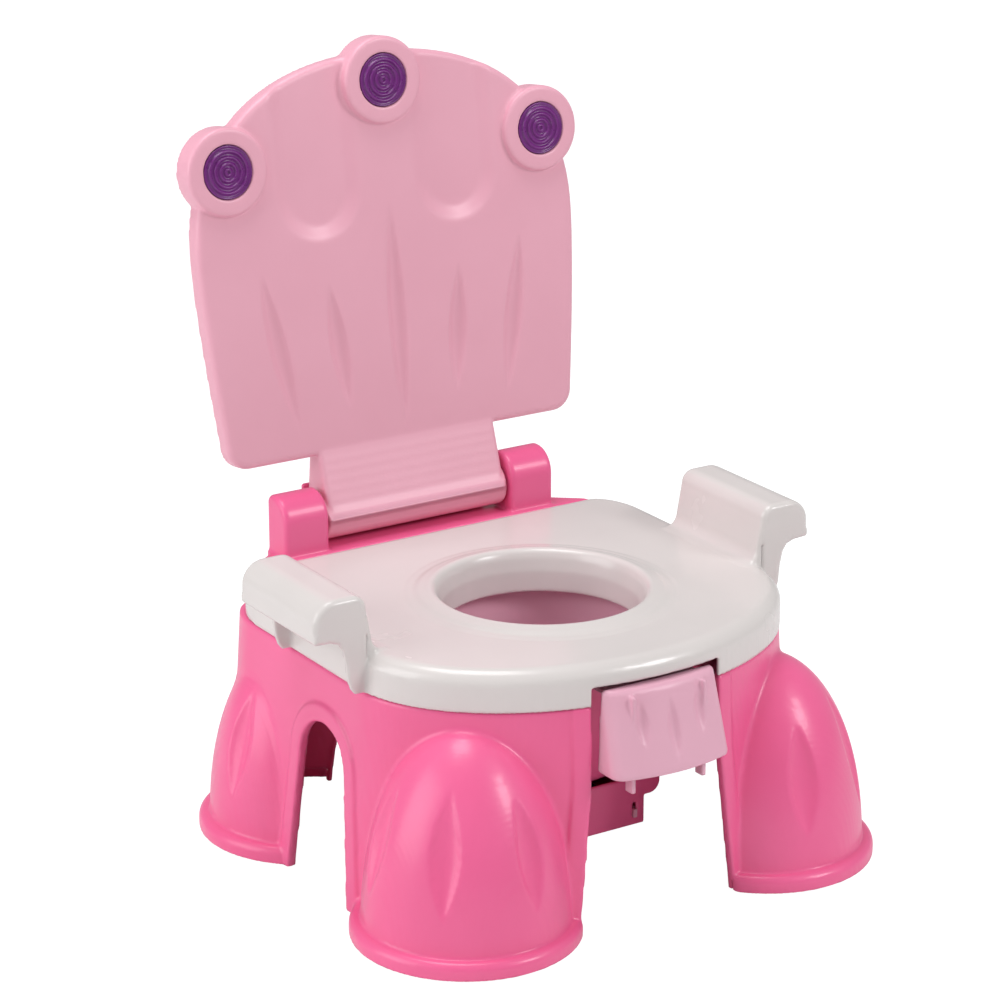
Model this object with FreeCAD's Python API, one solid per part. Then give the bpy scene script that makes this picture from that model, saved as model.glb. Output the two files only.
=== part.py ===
import FreeCAD, Part
import math
import os

# Potty training chair with a lift-off seat ring, a lift-out bowl and a hinged step lid.
# Millimetres. X is the sitter's left to right as seen from the front, -Y is the front, +Z is up.
# The model is drawn about the axis of the seat hole, on the floor, and is moved at the end so
# that its origin is the middle of the box round it, at floor level.

V = FreeCAD.Vector
UP = V(0, 0, 1)

# Mouldings
wall = 3.0
seat_gap = 0.2
fit_gap = 0.5
slide_gap = 1.0
tool_reach = 400.0
hole_reach = 50.0

# Plan of the body and of the seat that covers it
plan_half_width = 150.0
plan_centre_y = -25.0
plan_front_depth = 107.0
plan_rear_y = 140.0
plan_corner_x = 24.0
plan_corner_y = 38.0

# Base shell
base_top_z = 146.0
base_foot_gap = 0.8
base_flare = 9.0
base_front_inset = 2.0
base_rear_overhang = 8.0
deck_hole_radius = 84.0

# Legs: one petal at each corner
leg_x = 112.0
leg_front_y = -88.0
leg_rear_y = 106.0
leg_radius = 65.0
leg_height = 135.0
petal_power = 2.2
petal_fullness = 0.5
petal_steps = 7
flange_radius = 72.0
flange_height = 12.0
flange_round = 5.0
dent_middle_z = 74.0
dent_side_z = 70.0
dent_bar_radius = 18.0
dent_reach = 84.0
dent_depth = 3.0
dent_spread = 55.0

# Arches between the legs
arch_border = 12.0
arch_border_height = 2.0
arch_lining = 4.5
front_arch_foot = 58.0
front_arch_waist = 48.0
front_arch_waist_z = 92.0
tab_notch_half = 47.0
tab_notch_z = 117.0
rear_arch_foot = 68.0
rear_arch_waist = 60.0
rear_arch_waist_z = 61.0
rear_arch_top_z = 103.0
side_arch_y = 12.0
side_arch_foot = 37.0
side_arch_waist = 27.0
side_arch_waist_z = 85.0
side_arch_top_z = 111.0

# Foot pads
pad_inner_radius = 52.0
pad_outer_radius = 66.0
pad_height = 3.0
pad_half_angle = 32.0

# Bowl well under the deck
well_radius = 80.0
well_flange_radius = 92.0
well_floor_radius = 55.0
well_floor_z = 58.0
well_round = 10.0

# Bowl
bowl_wall = 2.5
bowl_rim_radius = 88.0
bowl_round = 12.0
tab_top_z = 156.0
tab_foot_z = 103.0
tab_half_top = 41.0
tab_half_foot = 43.0
tab_back_y = -127.0
tab_side_y = -131.5
tab_front_y = -138.5
tab_lean = 16.0
tab_groove_width = 7.0
tab_groove_depth = 1.5
tab_groove_pitch = 21.0
tab_groove_top_z = 146.0
tab_groove_long = 33.0
tab_groove_short = 22.0
guide_x = 26.0
guide_foot_z = 90.0
guide_front_y = -142.0
guide_depth = 8.0
neck_half_width = 34.0

# Seat ring
seat_top_z = 172.0
seat_edge_round = 10.0
seat_notch_back_y = -103.0
collar_crest_z = 176.0
collar_crest_radius = 69.2
collar_outer_radius = 82.0
collar_foot_radius = 62.0
collar_foot_z = 148.0
tab_clearance_top = 2.3
tab_clearance_side = 3.5

# Handles on the seat ring
handle_front_y = -35.0
handle_rear_y = 58.0
handle_wall_x = 144.5
handle_lean = 3.5
handle_foot_round = 10.0
handle_inner_round = 9.0
handle_outer_round = 15.0
handle_outer_x = 184.5
handle_top_z = 210.0
handle_lip_z = 184.0
web_step_x = 165.0
web_waist_x = 162.0
web_waist_z = 157.0
web_foot_x = 157.0

# Hinge deck and towers
deck_half_width = 134.0
deck_half_rear = 110.0
deck_wing_y = 160.0
deck_top_z = 169.0
deck_rear_y = 182.0
deck_slope_z = 116.0
tower_outer_x = 104.0
tower_inner_x = 71.0
tower_front_y = 144.0
tower_rear_y = 169.0
tower_height_z = 208.0
tower_front_round = 17.0
tower_rear_round = 6.0
stop_wall_z = 205.0

# Hinge
hinge_y = 162.5
hinge_z = 186.0
barrel_radius = 14.5
barrel_half = 69.5
pin_radius = 4.0
pin_clearance = 0.08
pin_depth = 14.0
pin_seat_depth = 20.0

# Lid, drawn upright with its front face on the plane y = 0 and its lower edge at z = 0
lid_lean = 7.3
lid_drop = 42.0
lid_axis_inset = 5.5
lid_thickness = 13.0
lid_skin = 4.0
lid_edge_round = 4.0
lid_half_foot = 133.0
lid_half_width = 142.4
lid_widest_z = 120.0
lid_corner_round = 15.0
lid_shoulder_x = 140.0
lid_shoulder_z = 168.0
lid_crown_x = 107.0
lid_crown_z = 224.0
lid_height = 258.0
arm_half = 68.0
arm_knee_share = 1.3
boss_radius = 28.5
boss_height = 4.5
boss_round = 2.0
boss_side_x = 118.5
boss_side_z = 194.0
boss_top_z = 239.5
jewel_radius = 17.2
jewel_depth = 4.0
jewel_ring_count = 4
jewel_ring_share = 0.45
jewel_ring_height = 0.8
valley_x = 52.0
valley_half = 33.0
valley_foot_z = 139.0
valley_bevel = 17.0
valley_depth = 2.0
lid_groove_width = 13.0
lid_groove_depth = 2.5
middle_groove = (0.0, 8.0, 0.0, 161.0)
side_grooves = ((41.0, 26.0, 50.0, 113.0), (80.0, 18.0, 100.0, 128.0))
groove_sections = 5
panel_thickness = 2.5
tread_count = 9
tread_pitch = 20.0
tread_height = 1.0
tread_width = 5.0
tread_half_length = 95.0
tread_first_z = 30.0

# Sound unit
unit_half_upper = 52.0
unit_half_lower = 40.0
unit_half_depth = 60.0
unit_foot_z = 25.0
unit_step_z = 44.0
unit_wall = 2.5
unit_corner = 8.0
cell_radius = 7.25
cell_length = 50.5
cell_tip_radius = 2.75
cell_tip_length = 1.5
cell_gap = 0.35
cell_centre_y = -21.0
tray_end_room = 3.0
contact_thickness = 0.8
spring_radius = 5.0
door_screw_y = 15.0
door_rear_y = 20.0
board_thickness = 1.6
chip_half = 6.5
chip_length = 10.0
capacitor_x = 10.0
capacitor_y = -14.0
capacitor_radius = 2.5
capacitor_height = 7.5
speaker_y = 38.0
speaker_radius = 17.0
speaker_height = 9.0
grille_hole_radius = 1.5
grille_ring_radius = 8.0
grille_hole_count = 8
switch_x = 32.0
switch_slot_width = 3.0
switch_slot_height = 10.0
switch_slot_z = 30.5
switch_travel = 4.0
switch_knob_proud = 1.2
stud_radius = 2.0
stud_head_radius = 4.0
stud_head_height = 0.8
stud_x = 12.0
stud_y = -28.0

# Screws
screw_radius = 1.6
screw_head_radius = 3.2
screw_head_height = 2.5
screw_length = 11.0
screw_boss_radius = 4.5
screw_clearance = 0.3
deck_screw_x = (-92.0, -31.0, 31.0, 92.0)
deck_screw_z = 133.0
unit_screw_x = 33.5
unit_screw_y = 49.0


def polygon(points):
    """Closed wire through the points."""
    return Part.makePolygon(points + [points[0]])


def line(start, stop):
    return Part.LineSegment(start, stop).toShape()


def arc(start, middle, stop):
    return Part.Arc(start, middle, stop).toShape()


def box(x0, x1, y0, y1, z0, z1):
    return Part.makeBox(x1 - x0, y1 - y0, z1 - z0, V(x0, y0, z0))


def cylinder(radius, start, direction, length):
    return Part.makeCylinder(radius, length, start, direction)


def fuse_all(shapes):
    return shapes[0].fuse(shapes[1:]) if len(shapes) > 1 else shapes[0]


def clean(shape):
    """The shape without the seams that fusing leaves on its faces."""
    return shape.removeSplitter()


def mirror_x(shape):
    return shape.mirror(V(0, 0, 0), V(1, 0, 0))


def extrude(wire, direction):
    return Part.Face(wire).extrude(direction)


def ellipse_arc(x, y, z, reach_x, reach_y, start, stop):
    """Arc of an upright ellipse, between two angles in degrees from +X."""
    centre = V(x, y, z)
    if reach_x >= reach_y:
        curve = Part.Ellipse(centre, reach_x, reach_y)
        turn = 0.0
    else:
        curve = Part.Ellipse(centre + V(0, reach_y, 0), centre + V(-reach_x, 0, 0), centre)
        turn = 90.0
    return Part.ArcOfEllipse(curve, math.radians(start - turn), math.radians(stop - turn)).toShape()


def plan_wire(z, inset, rear_y=plan_rear_y, front_inset=0.0):
    """Plan outline: half ellipse in front, straight sides, quarter ellipses behind."""
    half = plan_half_width - inset
    front = plan_front_depth - inset - front_inset
    corner_x = plan_corner_x - inset
    corner_y = plan_corner_y - inset
    rear = rear_y - inset
    turn_x = half - corner_x
    turn_y = rear - corner_y
    return Part.Wire([
        ellipse_arc(0, plan_centre_y, z, half, front, 180, 360),
        line(V(half, plan_centre_y, z), V(half, turn_y, z)),
        ellipse_arc(turn_x, turn_y, z, corner_x, corner_y, 0, 90),
        line(V(turn_x, rear, z), V(-turn_x, rear, z)),
        ellipse_arc(-turn_x, turn_y, z, corner_x, corner_y, 90, 180),
        line(V(-half, turn_y, z), V(-half, plan_centre_y, z))])


def revolve_profile(edges):
    """Solid of revolution about Z from edges in the XZ plane."""
    return Part.Face(Part.Wire(edges)).revolve(V(0, 0, 0), UP, 360)


def revolve_polygon(points):
    return Part.Face(polygon([V(r, 0, z) for r, z in points])).revolve(V(0, 0, 0), UP, 360)


def leaf(path_point, path_normal, length, width, depth):
    """Leaf-shaped cutter with pointed ends, sunk by depth at mid-length.

    path_point and path_normal give the surface at a distance along the leaf."""
    full_radius = (width * width / 4 + depth * depth) / (2 * depth)
    sections = [Part.Vertex(path_point(0.0))]
    for step in range(1, groove_sections + 1):
        share = step / (groove_sections + 1)
        swell = math.sin(math.pi * share)
        normal = path_normal(length * share)
        ahead = path_point(length * share + slide_gap) - path_point(length * share - slide_gap)
        centre = path_point(length * share) + normal * ((full_radius - depth) * swell)
        sections.append(Part.Wire([Part.Circle(centre, ahead, full_radius * swell).toShape()]))
    sections.append(Part.Vertex(path_point(length)))
    return Part.makeLoft(sections, True)


def petal_radius(height, radius, full_height):
    share = min(max(height / full_height, 0.0), 1.0)
    return radius * (1 - share ** petal_power) ** petal_fullness


def petal(inset):
    """Domed leg body about the Z axis, inset from its outer face."""
    radius = leg_radius - inset
    height = leg_height - inset
    points = []
    for step in range(petal_steps):
        z = height * math.sin(math.pi / 2 * step / petal_steps)
        points.append(V(petal_radius(z, radius, height), 0, z))
    points.append(V(0, 0, height))
    curve = Part.BSplineCurve()
    curve.interpolate(points)
    return revolve_profile([
        line(V(0, 0, 0), points[0]), curve.toShape(), line(points[-1], V(0, 0, 0))])


def flange(inset):
    """Rounded rim round the foot of a leg."""
    radius = flange_radius - inset
    top = flange_height - inset
    bend = flange_round * (1 - math.cos(math.pi / 4))
    return revolve_profile([
        line(V(0, 0, 0), V(radius, 0, 0)),
        line(V(radius, 0, 0), V(radius, 0, top - flange_round)),
        arc(V(radius, 0, top - flange_round), V(radius - bend, 0, top - bend),
            V(radius - flange_round, 0, top)),
        line(V(radius - flange_round, 0, top), V(0, 0, top)),
        line(V(0, 0, top), V(0, 0, 0))])


def leg_dent(angle, middle_z, inset):
    """Round bar laid along a leg's bulging face, so that it leaves a leaf-shaped dent."""
    outward = V(math.cos(math.radians(angle)), math.sin(math.radians(angle)), 0)
    radius = petal_radius(middle_z, leg_radius, leg_height)
    above = petal_radius(middle_z + slide_gap, leg_radius, leg_height)
    along = (outward * (above - radius) + UP * slide_gap).normalize()
    normal = (outward * along.z - UP * outward.dot(along)).normalize()
    middle = outward * radius + UP * middle_z + normal * (dent_bar_radius - dent_depth)
    return cylinder(dent_bar_radius + inset, middle - along * (dent_reach / 2), along, dent_reach)


def at_legs(shape_for):
    """One shape at each leg, from a function of the leg's outward angle."""
    placed = []
    for x, y, angle in ((leg_x, leg_front_y, 315), (-leg_x, leg_front_y, 225),
                        (leg_x, leg_rear_y, 45), (-leg_x, leg_rear_y, 135)):
        placed.append(shape_for(angle).translated(V(x, y, 0)))
    return placed


def leg_body(inset):
    def build(angle):
        body = petal(inset).fuse(flange(inset))
        return body.cut([leg_dent(angle - dent_spread, dent_side_z, inset),
                         leg_dent(angle, dent_middle_z, inset),
                         leg_dent(angle + dent_spread, dent_side_z, inset)])
    return at_legs(build)


def arch_wire(centre, foot, waist, waist_z, top_z, grow):
    """Arch outline in the XZ plane: leaning sides and a round head."""
    foot += grow
    waist += grow
    head = top_z + grow
    below = -slide_gap
    bend = waist * math.cos(math.pi / 4)
    rise = head - waist_z
    return Part.Wire([
        line(V(centre - foot, 0, below), V(centre + foot, 0, below)),
        line(V(centre + foot, 0, below), V(centre + waist, 0, waist_z)),
        ellipse_head(centre, waist_z, waist, rise),
        line(V(centre - waist, 0, waist_z), V(centre - foot, 0, below))])


def ellipse_head(centre, z, reach_x, reach_z):
    """Upper half of an ellipse in the XZ plane, from right to left."""
    flat = ellipse_arc(centre, z, 0, reach_x, reach_z, 0, 180)
    flat.rotate(V(0, 0, 0), V(1, 0, 0), 90)
    return flat


def front_arch(grow):
    """Front opening: arch sides that run on up into the notch for the tab."""
    foot = front_arch_foot + grow
    waist = front_arch_waist + grow
    notch = tab_notch_half + grow
    top = base_top_z + slide_gap
    return polygon([V(-foot, 0, -slide_gap), V(foot, 0, -slide_gap), V(waist, 0, front_arch_waist_z),
                    V(notch, 0, tab_notch_z), V(notch, 0, top), V(-notch, 0, top),
                    V(-notch, 0, tab_notch_z), V(-waist, 0, front_arch_waist_z)])


def arch_cutters(grow, deck_reach):
    """Prisms for the front, rear and two side arches."""
    reach = V(0, tool_reach, 0)
    front = extrude(front_arch(grow), reach)
    front.translate(V(0, deck_reach - tool_reach, 0))
    rear = extrude(arch_wire(0, rear_arch_foot, rear_arch_waist, rear_arch_waist_z,
                             rear_arch_top_z, grow), reach)
    side = extrude(arch_wire(side_arch_y, side_arch_foot, side_arch_waist, side_arch_waist_z,
                             side_arch_top_z, grow), reach)
    right = side.copy()
    right.rotate(V(0, 0, 0), UP, 90)
    right.translate(V(tool_reach + plan_centre_y, 0, 0))
    return [front, rear, right, mirror_x(right)]


def wall_solid(inset, low_z, high_z):
    """Flared body wall as a full solid."""
    rear = plan_rear_y + base_rear_overhang
    return Part.makeLoft([
        plan_wire(low_z, inset - base_flare, rear),
        plan_wire(high_z, inset, rear, base_front_inset)], True, True)


def base_shell():
    """Body moulding: flared wall, four hollow petal legs, arches and a deck with a round hole."""
    outer_wall = wall_solid(0, 0, base_top_z)
    arch_blocks = arch_cutters(arch_border, plan_centre_y)
    proud_wall = wall_solid(-arch_border_height, 0, base_top_z)
    borders = [proud_wall.common(block) for block in arch_blocks]
    outer = fuse_all([outer_wall] + leg_body(0) + borders)
    hollow = fuse_all([wall_solid(wall, 0, base_top_z - wall)] + leg_body(wall))
    hollow = hollow.common(box(-tool_reach, tool_reach, -tool_reach, tool_reach, 0, base_top_z - wall))
    ring = wall_solid(-arch_border_height, 0, base_top_z).cut(wall_solid(arch_lining, 0, base_top_z))
    linings = [ring.common(block) for block in arch_cutters(wall, plan_centre_y)]
    shell = outer.cut(hollow.cut(fuse_all(linings)))
    ledges = at_legs(lambda angle: foot_sector(
        angle, pad_inner_radius - wall, flange_radius - wall / 2, pad_height, pad_height + wall))
    shell = shell.fuse(ledges)
    shell = shell.cut(arch_cutters(0, plan_centre_y))
    shell = shell.cut(box(-tool_reach, tool_reach, -tool_reach, tool_reach, -wall, base_foot_gap))
    shell = shell.cut(cylinder(deck_hole_radius, V(0, 0, 0), UP, tool_reach))
    rear_wall_y = plan_rear_y + base_rear_overhang
    for x in deck_screw_x:
        shell = shell.cut(cylinder(screw_radius + screw_clearance,
                                   V(x, rear_wall_y - hole_reach, deck_screw_z),
                                   V(0, 1, 0), 2 * hole_reach))
    return clean(shell)


def foot_sector(angle, inner, outer, low_z, high_z):
    """Sector of a ring, facing an angle in plan."""
    start = angle - pad_half_angle
    ring = Part.makeCylinder(outer, high_z - low_z, V(0, 0, low_z), UP, 2 * pad_half_angle)
    ring = ring.cut(cylinder(inner, V(0, 0, low_z), UP, high_z - low_z))
    ring.rotate(V(0, 0, 0), UP, start)
    return ring


def foot_pads():
    """Crescent rubber pads under the ledges inside the legs."""
    pads = at_legs(lambda angle: foot_sector(angle, pad_inner_radius, pad_outer_radius, 0, pad_height))
    names = ("foot_pad_front_right", "foot_pad_front_left", "foot_pad_rear_right", "foot_pad_rear_left")
    return dict(zip(names, pads))


def well_profile(clearance, thickness):
    """Outer and inner radius of the well at its mouth and floor."""
    return well_radius - clearance - thickness, well_floor_radius - clearance - thickness


def screw(length):
    """Pan-head screw pointing up, with its head's underside at the origin."""
    head = cylinder(screw_head_radius, V(0, 0, -screw_head_height), UP, screw_head_height)
    socket = box(-screw_radius, screw_radius, -screw_clearance, screw_clearance,
                 -screw_head_height, -screw_head_height / 2)
    return head.fuse(cylinder(screw_radius, V(0, 0, 0), UP, length)).cut(socket)


def unit_screw_places():
    return [V(x, y, 0) for x in (-unit_screw_x, unit_screw_x) for y in (-unit_screw_y, unit_screw_y)]


def bowl_well():
    """Tub that hangs in the deck and holds the bowl."""
    flange_z = base_top_z
    lip_z = flange_z + wall
    body = revolve_polygon([
        (0, well_floor_z), (well_floor_radius + wall, well_floor_z), (well_radius + wall, flange_z),
        (well_flange_radius, flange_z), (well_flange_radius, lip_z), (0, lip_z)])
    body = round_ring(body, well_floor_radius + wall, well_floor_z, well_round + wall)
    hollow = revolve_polygon([
        (0, well_floor_z + wall), (well_floor_radius, well_floor_z + wall),
        (well_radius, flange_z), (well_radius, lip_z), (0, lip_z)])
    hollow = round_ring(hollow, well_floor_radius, well_floor_z + wall, well_round)
    well = body.cut(hollow)
    for place in unit_screw_places():
        boss = cylinder(screw_boss_radius, place + UP * (unit_step_z + screw_boss_radius), UP,
                        well_floor_z - unit_step_z - screw_boss_radius + wall)
        well = well.fuse(boss)
        well = well.cut(cylinder(screw_radius, place + UP * unit_step_z, UP,
                                 well_floor_z - unit_step_z + wall / 2))
    for x in (-stud_x, stud_x):
        well = well.cut(cylinder(stud_radius, V(x, stud_y, unit_step_z), UP, hole_reach))
    return clean(well)


def round_ring(solid, radius, z, fillet):
    """Rounds the circular edge of a given radius and height."""
    edges = [edge for edge in solid.Edges
             if isinstance(edge.Curve, Part.Circle)
             and abs(edge.Curve.Radius - radius) < fit_gap
             and abs(edge.Curve.Center.z - z) < fit_gap]
    return solid.makeFillet(fillet, edges)


def tab_wire(z, half, inset):
    """Plan of the leaning tab: bowed front, straight sides and back."""
    half -= inset
    back = tab_back_y
    lean = tab_lean * (tab_top_z - z) / (tab_top_z - tab_foot_z)
    side = tab_side_y - lean + inset / 2
    return Part.Wire([
        arc(V(-half, side, z), V(0, tab_front_y - lean + inset, z), V(half, side, z)),
        line(V(half, side, z), V(half, back, z)),
        line(V(half, back, z), V(-half, back, z)),
        line(V(-half, back, z), V(-half, side, z))])


def bowl():
    """Lift-out bowl: round pan, rim, neck over the deck and the grooved tab in front."""
    rim_z = base_top_z + wall + seat_gap
    rim_top = rim_z + wall
    mouth, floor = well_profile(slide_gap, 0)
    floor_z = well_floor_z + wall + stud_head_height + seat_gap
    body = revolve_polygon([
        (0, floor_z), (floor, floor_z), (mouth, rim_z), (bowl_rim_radius, rim_z),
        (bowl_rim_radius, rim_top), (0, rim_top)])
    body = round_ring(body, floor, floor_z, bowl_round)
    inner_floor_z = floor_z + bowl_wall
    hollow = revolve_polygon([
        (0, inner_floor_z), (floor - bowl_wall, inner_floor_z), (mouth - bowl_wall, rim_z),
        (mouth - bowl_wall, rim_top), (0, rim_top)])
    hollow = round_ring(hollow, floor - bowl_wall, inner_floor_z, bowl_round - bowl_wall)
    neck = box(-neck_half_width, neck_half_width, tab_back_y - wall, -mouth, rim_z, rim_top)
    tab = Part.makeLoft([tab_wire(tab_foot_z, tab_half_foot, 0), tab_wire(tab_top_z, tab_half_top, 0)],
                        True, True)
    tab = round_tab(tab)
    inside = Part.makeLoft([tab_wire(tab_foot_z - wall, tab_half_foot, wall),
                            tab_wire(tab_top_z - wall, tab_half_top, wall)], True, True)
    tab = tab.cut(inside)
    back_plate = box(-neck_half_width, neck_half_width, tab_back_y - wall, tab_back_y, rim_z, tab_top_z - wall)
    shape = fuse_all([body, neck, tab, back_plate])
    for x in (-guide_x, guide_x):
        guide = box(x - wall / 2, x + wall / 2, guide_front_y, guide_front_y + guide_depth,
                    guide_foot_z, tab_top_z - wall)
        shape = shape.fuse(guide)
    shape = shape.cut(hollow)
    for step, length in ((-1, tab_groove_short), (0, tab_groove_long), (1, tab_groove_short)):
        shape = shape.cut(tab_groove(step * tab_groove_pitch, length))
    return clean(shape)


def round_tab(tab):
    """Rounds the upright corners and the top edge of the tab's bowed front."""
    upright = [edge for edge in tab.Edges
               if edge.BoundBox.ZLength > (tab_top_z - tab_foot_z) / 2
               and edge.BoundBox.YMax < (tab_back_y + tab_side_y) / 2]
    tab = tab.makeFillet(wall, upright)
    top = [edge for edge in tab.Edges
           if edge.BoundBox.ZLength < fit_gap and edge.BoundBox.ZMin > tab_top_z - fit_gap
           and edge.BoundBox.YMin < tab_back_y - wall]
    return tab.makeFillet(wall / 2, top)


def tab_groove(x, length):
    """Finger groove down the tab's leaning, bowed face, with round ends."""
    half = (tab_half_top + tab_half_foot) / 2
    rise = tab_side_y - tab_front_y
    bow_radius = (half * half + rise * rise) / (2 * rise)
    lean = tab_lean * (tab_top_z - tab_groove_top_z) / (tab_top_z - tab_foot_z)
    radius = (tab_groove_width ** 2 / 4 + tab_groove_depth ** 2) / (2 * tab_groove_depth)
    reach = bow_radius + radius - tab_groove_depth
    top = V(x * reach / bow_radius, tab_front_y - lean + bow_radius - math.sqrt(reach ** 2 - x ** 2),
            tab_groove_top_z)
    along = V(0, -tab_lean, tab_foot_z - tab_top_z).normalize()
    foot = top + along * length
    return fuse_all([cylinder(radius, top, along, length), Part.makeSphere(radius, top),
                     Part.makeSphere(radius, foot)])


def handle_curve(inset, low_z):
    """Upper outline of a handle in the XZ plane, from its inner wall over to its lip."""
    inner_x = handle_wall_x + handle_lean + inset
    outer_x = handle_outer_x - inset
    top = handle_top_z - inset
    inner_r = handle_inner_round - inset
    outer_r = handle_outer_round - inset
    c45 = math.cos(math.pi / 4)
    inner_c = V(inner_x + inner_r, 0, top - inner_r)
    outer_c = V(outer_x - outer_r, 0, top - outer_r)
    return [
        arc(inner_c + V(-inner_r, 0, 0), inner_c + V(-inner_r * c45, 0, inner_r * c45),
            inner_c + V(0, 0, inner_r)),
        line(inner_c + V(0, 0, inner_r), outer_c + V(0, 0, outer_r)),
        arc(outer_c + V(0, 0, outer_r), outer_c + V(outer_r * c45, 0, outer_r * c45),
            outer_c + V(outer_r, 0, 0)),
        line(outer_c + V(outer_r, 0, 0), V(outer_x, 0, low_z))], inner_c + V(-inner_r, 0, 0)


def handle():
    """Right-hand handle: a hooked channel with closed ends that run down the seat's side."""
    curve, wall_top = handle_curve(0, handle_lip_z)
    plate = seat_top_z - wall / 2
    foot = V(handle_wall_x - handle_foot_round, 0, seat_top_z)
    rise = V(handle_wall_x, 0, seat_top_z + handle_foot_round)
    bend = handle_foot_round * (1 - math.cos(math.pi / 4))
    middle = V(handle_wall_x - bend, 0, seat_top_z + bend)
    side = plan_half_width - wall / 2
    lip = V(handle_outer_x, 0, handle_lip_z)
    skin = Part.Wire([arc(foot, middle, rise), line(rise, wall_top)] + curve + [
        line(lip, V(side, 0, handle_lip_z)),
        line(V(side, 0, handle_lip_z), V(side, 0, plate)),
        line(V(side, 0, plate), V(foot.x, 0, plate)),
        line(V(foot.x, 0, plate), foot)])
    length = handle_rear_y - handle_front_y
    body = extrude(skin, V(0, length, 0))
    web = polygon([lip, V(web_step_x, 0, handle_lip_z - wall), V(web_waist_x, 0, web_waist_z),
                   V(web_foot_x, 0, base_top_z + slide_gap), V(side, 0, base_top_z + slide_gap),
                   V(side, 0, handle_lip_z)])
    ends = [extrude(web, V(0, wall, 0)), extrude(web, V(0, wall, 0)).translated(V(0, length - wall, 0))]
    inner, inner_top = handle_curve(wall, base_top_z)
    skirt_x = plan_half_width
    channel = Part.Wire([line(V(skirt_x, 0, handle_lip_z - handle_foot_round), inner_top)] + inner + [
        line(V(handle_outer_x - wall, 0, base_top_z), V(skirt_x, 0, base_top_z)),
        line(V(skirt_x, 0, base_top_z), V(skirt_x, 0, handle_lip_z - handle_foot_round))])
    room = extrude(channel, V(0, length - 2 * wall, 0)).translated(V(0, wall, 0))
    shape = body.fuse(ends).cut(room)
    return shape.translated(V(0, handle_front_y, 0))


def seat_ring():
    """Seat: domed plate with a skirt, a collar down into the bowl and two handles."""
    skirt_z = base_top_z + seat_gap
    outer = extrude(plan_wire(skirt_z, 0), UP * (seat_top_z - skirt_z))
    outer = outer.makeFillet(seat_edge_round, top_edges(outer, seat_top_z))
    inner_top = seat_top_z - wall
    hollow = extrude(plan_wire(skirt_z - wall, wall), UP * (inner_top - skirt_z + wall))
    hollow = hollow.makeFillet(seat_edge_round - wall, top_edges(hollow, inner_top))
    shape = outer.cut(hollow).cut(cylinder((collar_crest_radius + collar_outer_radius) / 2, V(0, 0, 0),
                                           UP, tool_reach))
    shape = shape.fuse([collar(), handle(), mirror_x(handle())])
    side = tab_half_foot + tab_clearance_side
    notch = box(-side, side, -tool_reach, seat_notch_back_y, base_top_z - wall,
                tab_top_z + tab_clearance_top)
    return clean(shape.cut(notch))


def top_edges(solid, z):
    return [edge for edge in solid.Edges if edge.BoundBox.ZMin > z - fit_gap]


def collar():
    """Ring round the hole: raised lip outside, tapered collar inside."""
    crest = V(collar_crest_radius, 0, collar_crest_z)
    outer = V(collar_outer_radius, 0, seat_top_z)
    foot = V(collar_foot_radius, 0, collar_foot_z)
    shoulder_r = (collar_crest_radius + collar_outer_radius) / 2
    shoulder = V(shoulder_r, 0, collar_crest_z - wall / 2)
    inner_mid = V(collar_foot_radius + wall / 2, 0, (collar_foot_z + collar_crest_z) / 2)
    return revolve_profile([
        arc(outer, shoulder, crest),
        arc(crest, inner_mid, foot),
        line(foot, foot + V(wall, 0, 0)),
        line(foot + V(wall, 0, 0), V(shoulder_r - wall / 2, 0, seat_top_z - wall)),
        line(V(shoulder_r - wall / 2, 0, seat_top_z - wall), V(collar_outer_radius, 0, seat_top_z - wall)),
        line(V(collar_outer_radius, 0, seat_top_z - wall), outer)])


def tower(side):
    """Rounded tower that holds one hinge pin, at side -1 or 1."""
    front = tower_front_y
    rear = tower_rear_y
    top = tower_height_z
    low = deck_top_z - wall
    bend = 1 - math.cos(math.pi / 4)
    profile = Part.Wire([
        line(V(0, rear, low), V(0, front, low)),
        line(V(0, front, low), V(0, front, top - tower_front_round)),
        arc(V(0, front, top - tower_front_round),
            V(0, front + tower_front_round * bend, top - tower_front_round * bend),
            V(0, front + tower_front_round, top)),
        line(V(0, front + tower_front_round, top), V(0, rear - tower_rear_round, top)),
        arc(V(0, rear - tower_rear_round, top),
            V(0, rear - tower_rear_round * bend, top - tower_rear_round * bend),
            V(0, rear, top - tower_rear_round)),
        line(V(0, rear, top - tower_rear_round), V(0, rear, low))])
    body = extrude(profile, V(tower_outer_x - tower_inner_x, 0, 0)).translated(V(tower_inner_x, 0, 0))
    body = body.makeFillet(wall, [edge for edge in body.Edges
                                  if edge.BoundBox.XMin > tower_outer_x - fit_gap
                                  and edge.BoundBox.ZMax > deck_top_z + fit_gap])
    return body if side > 0 else mirror_x(body)


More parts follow.
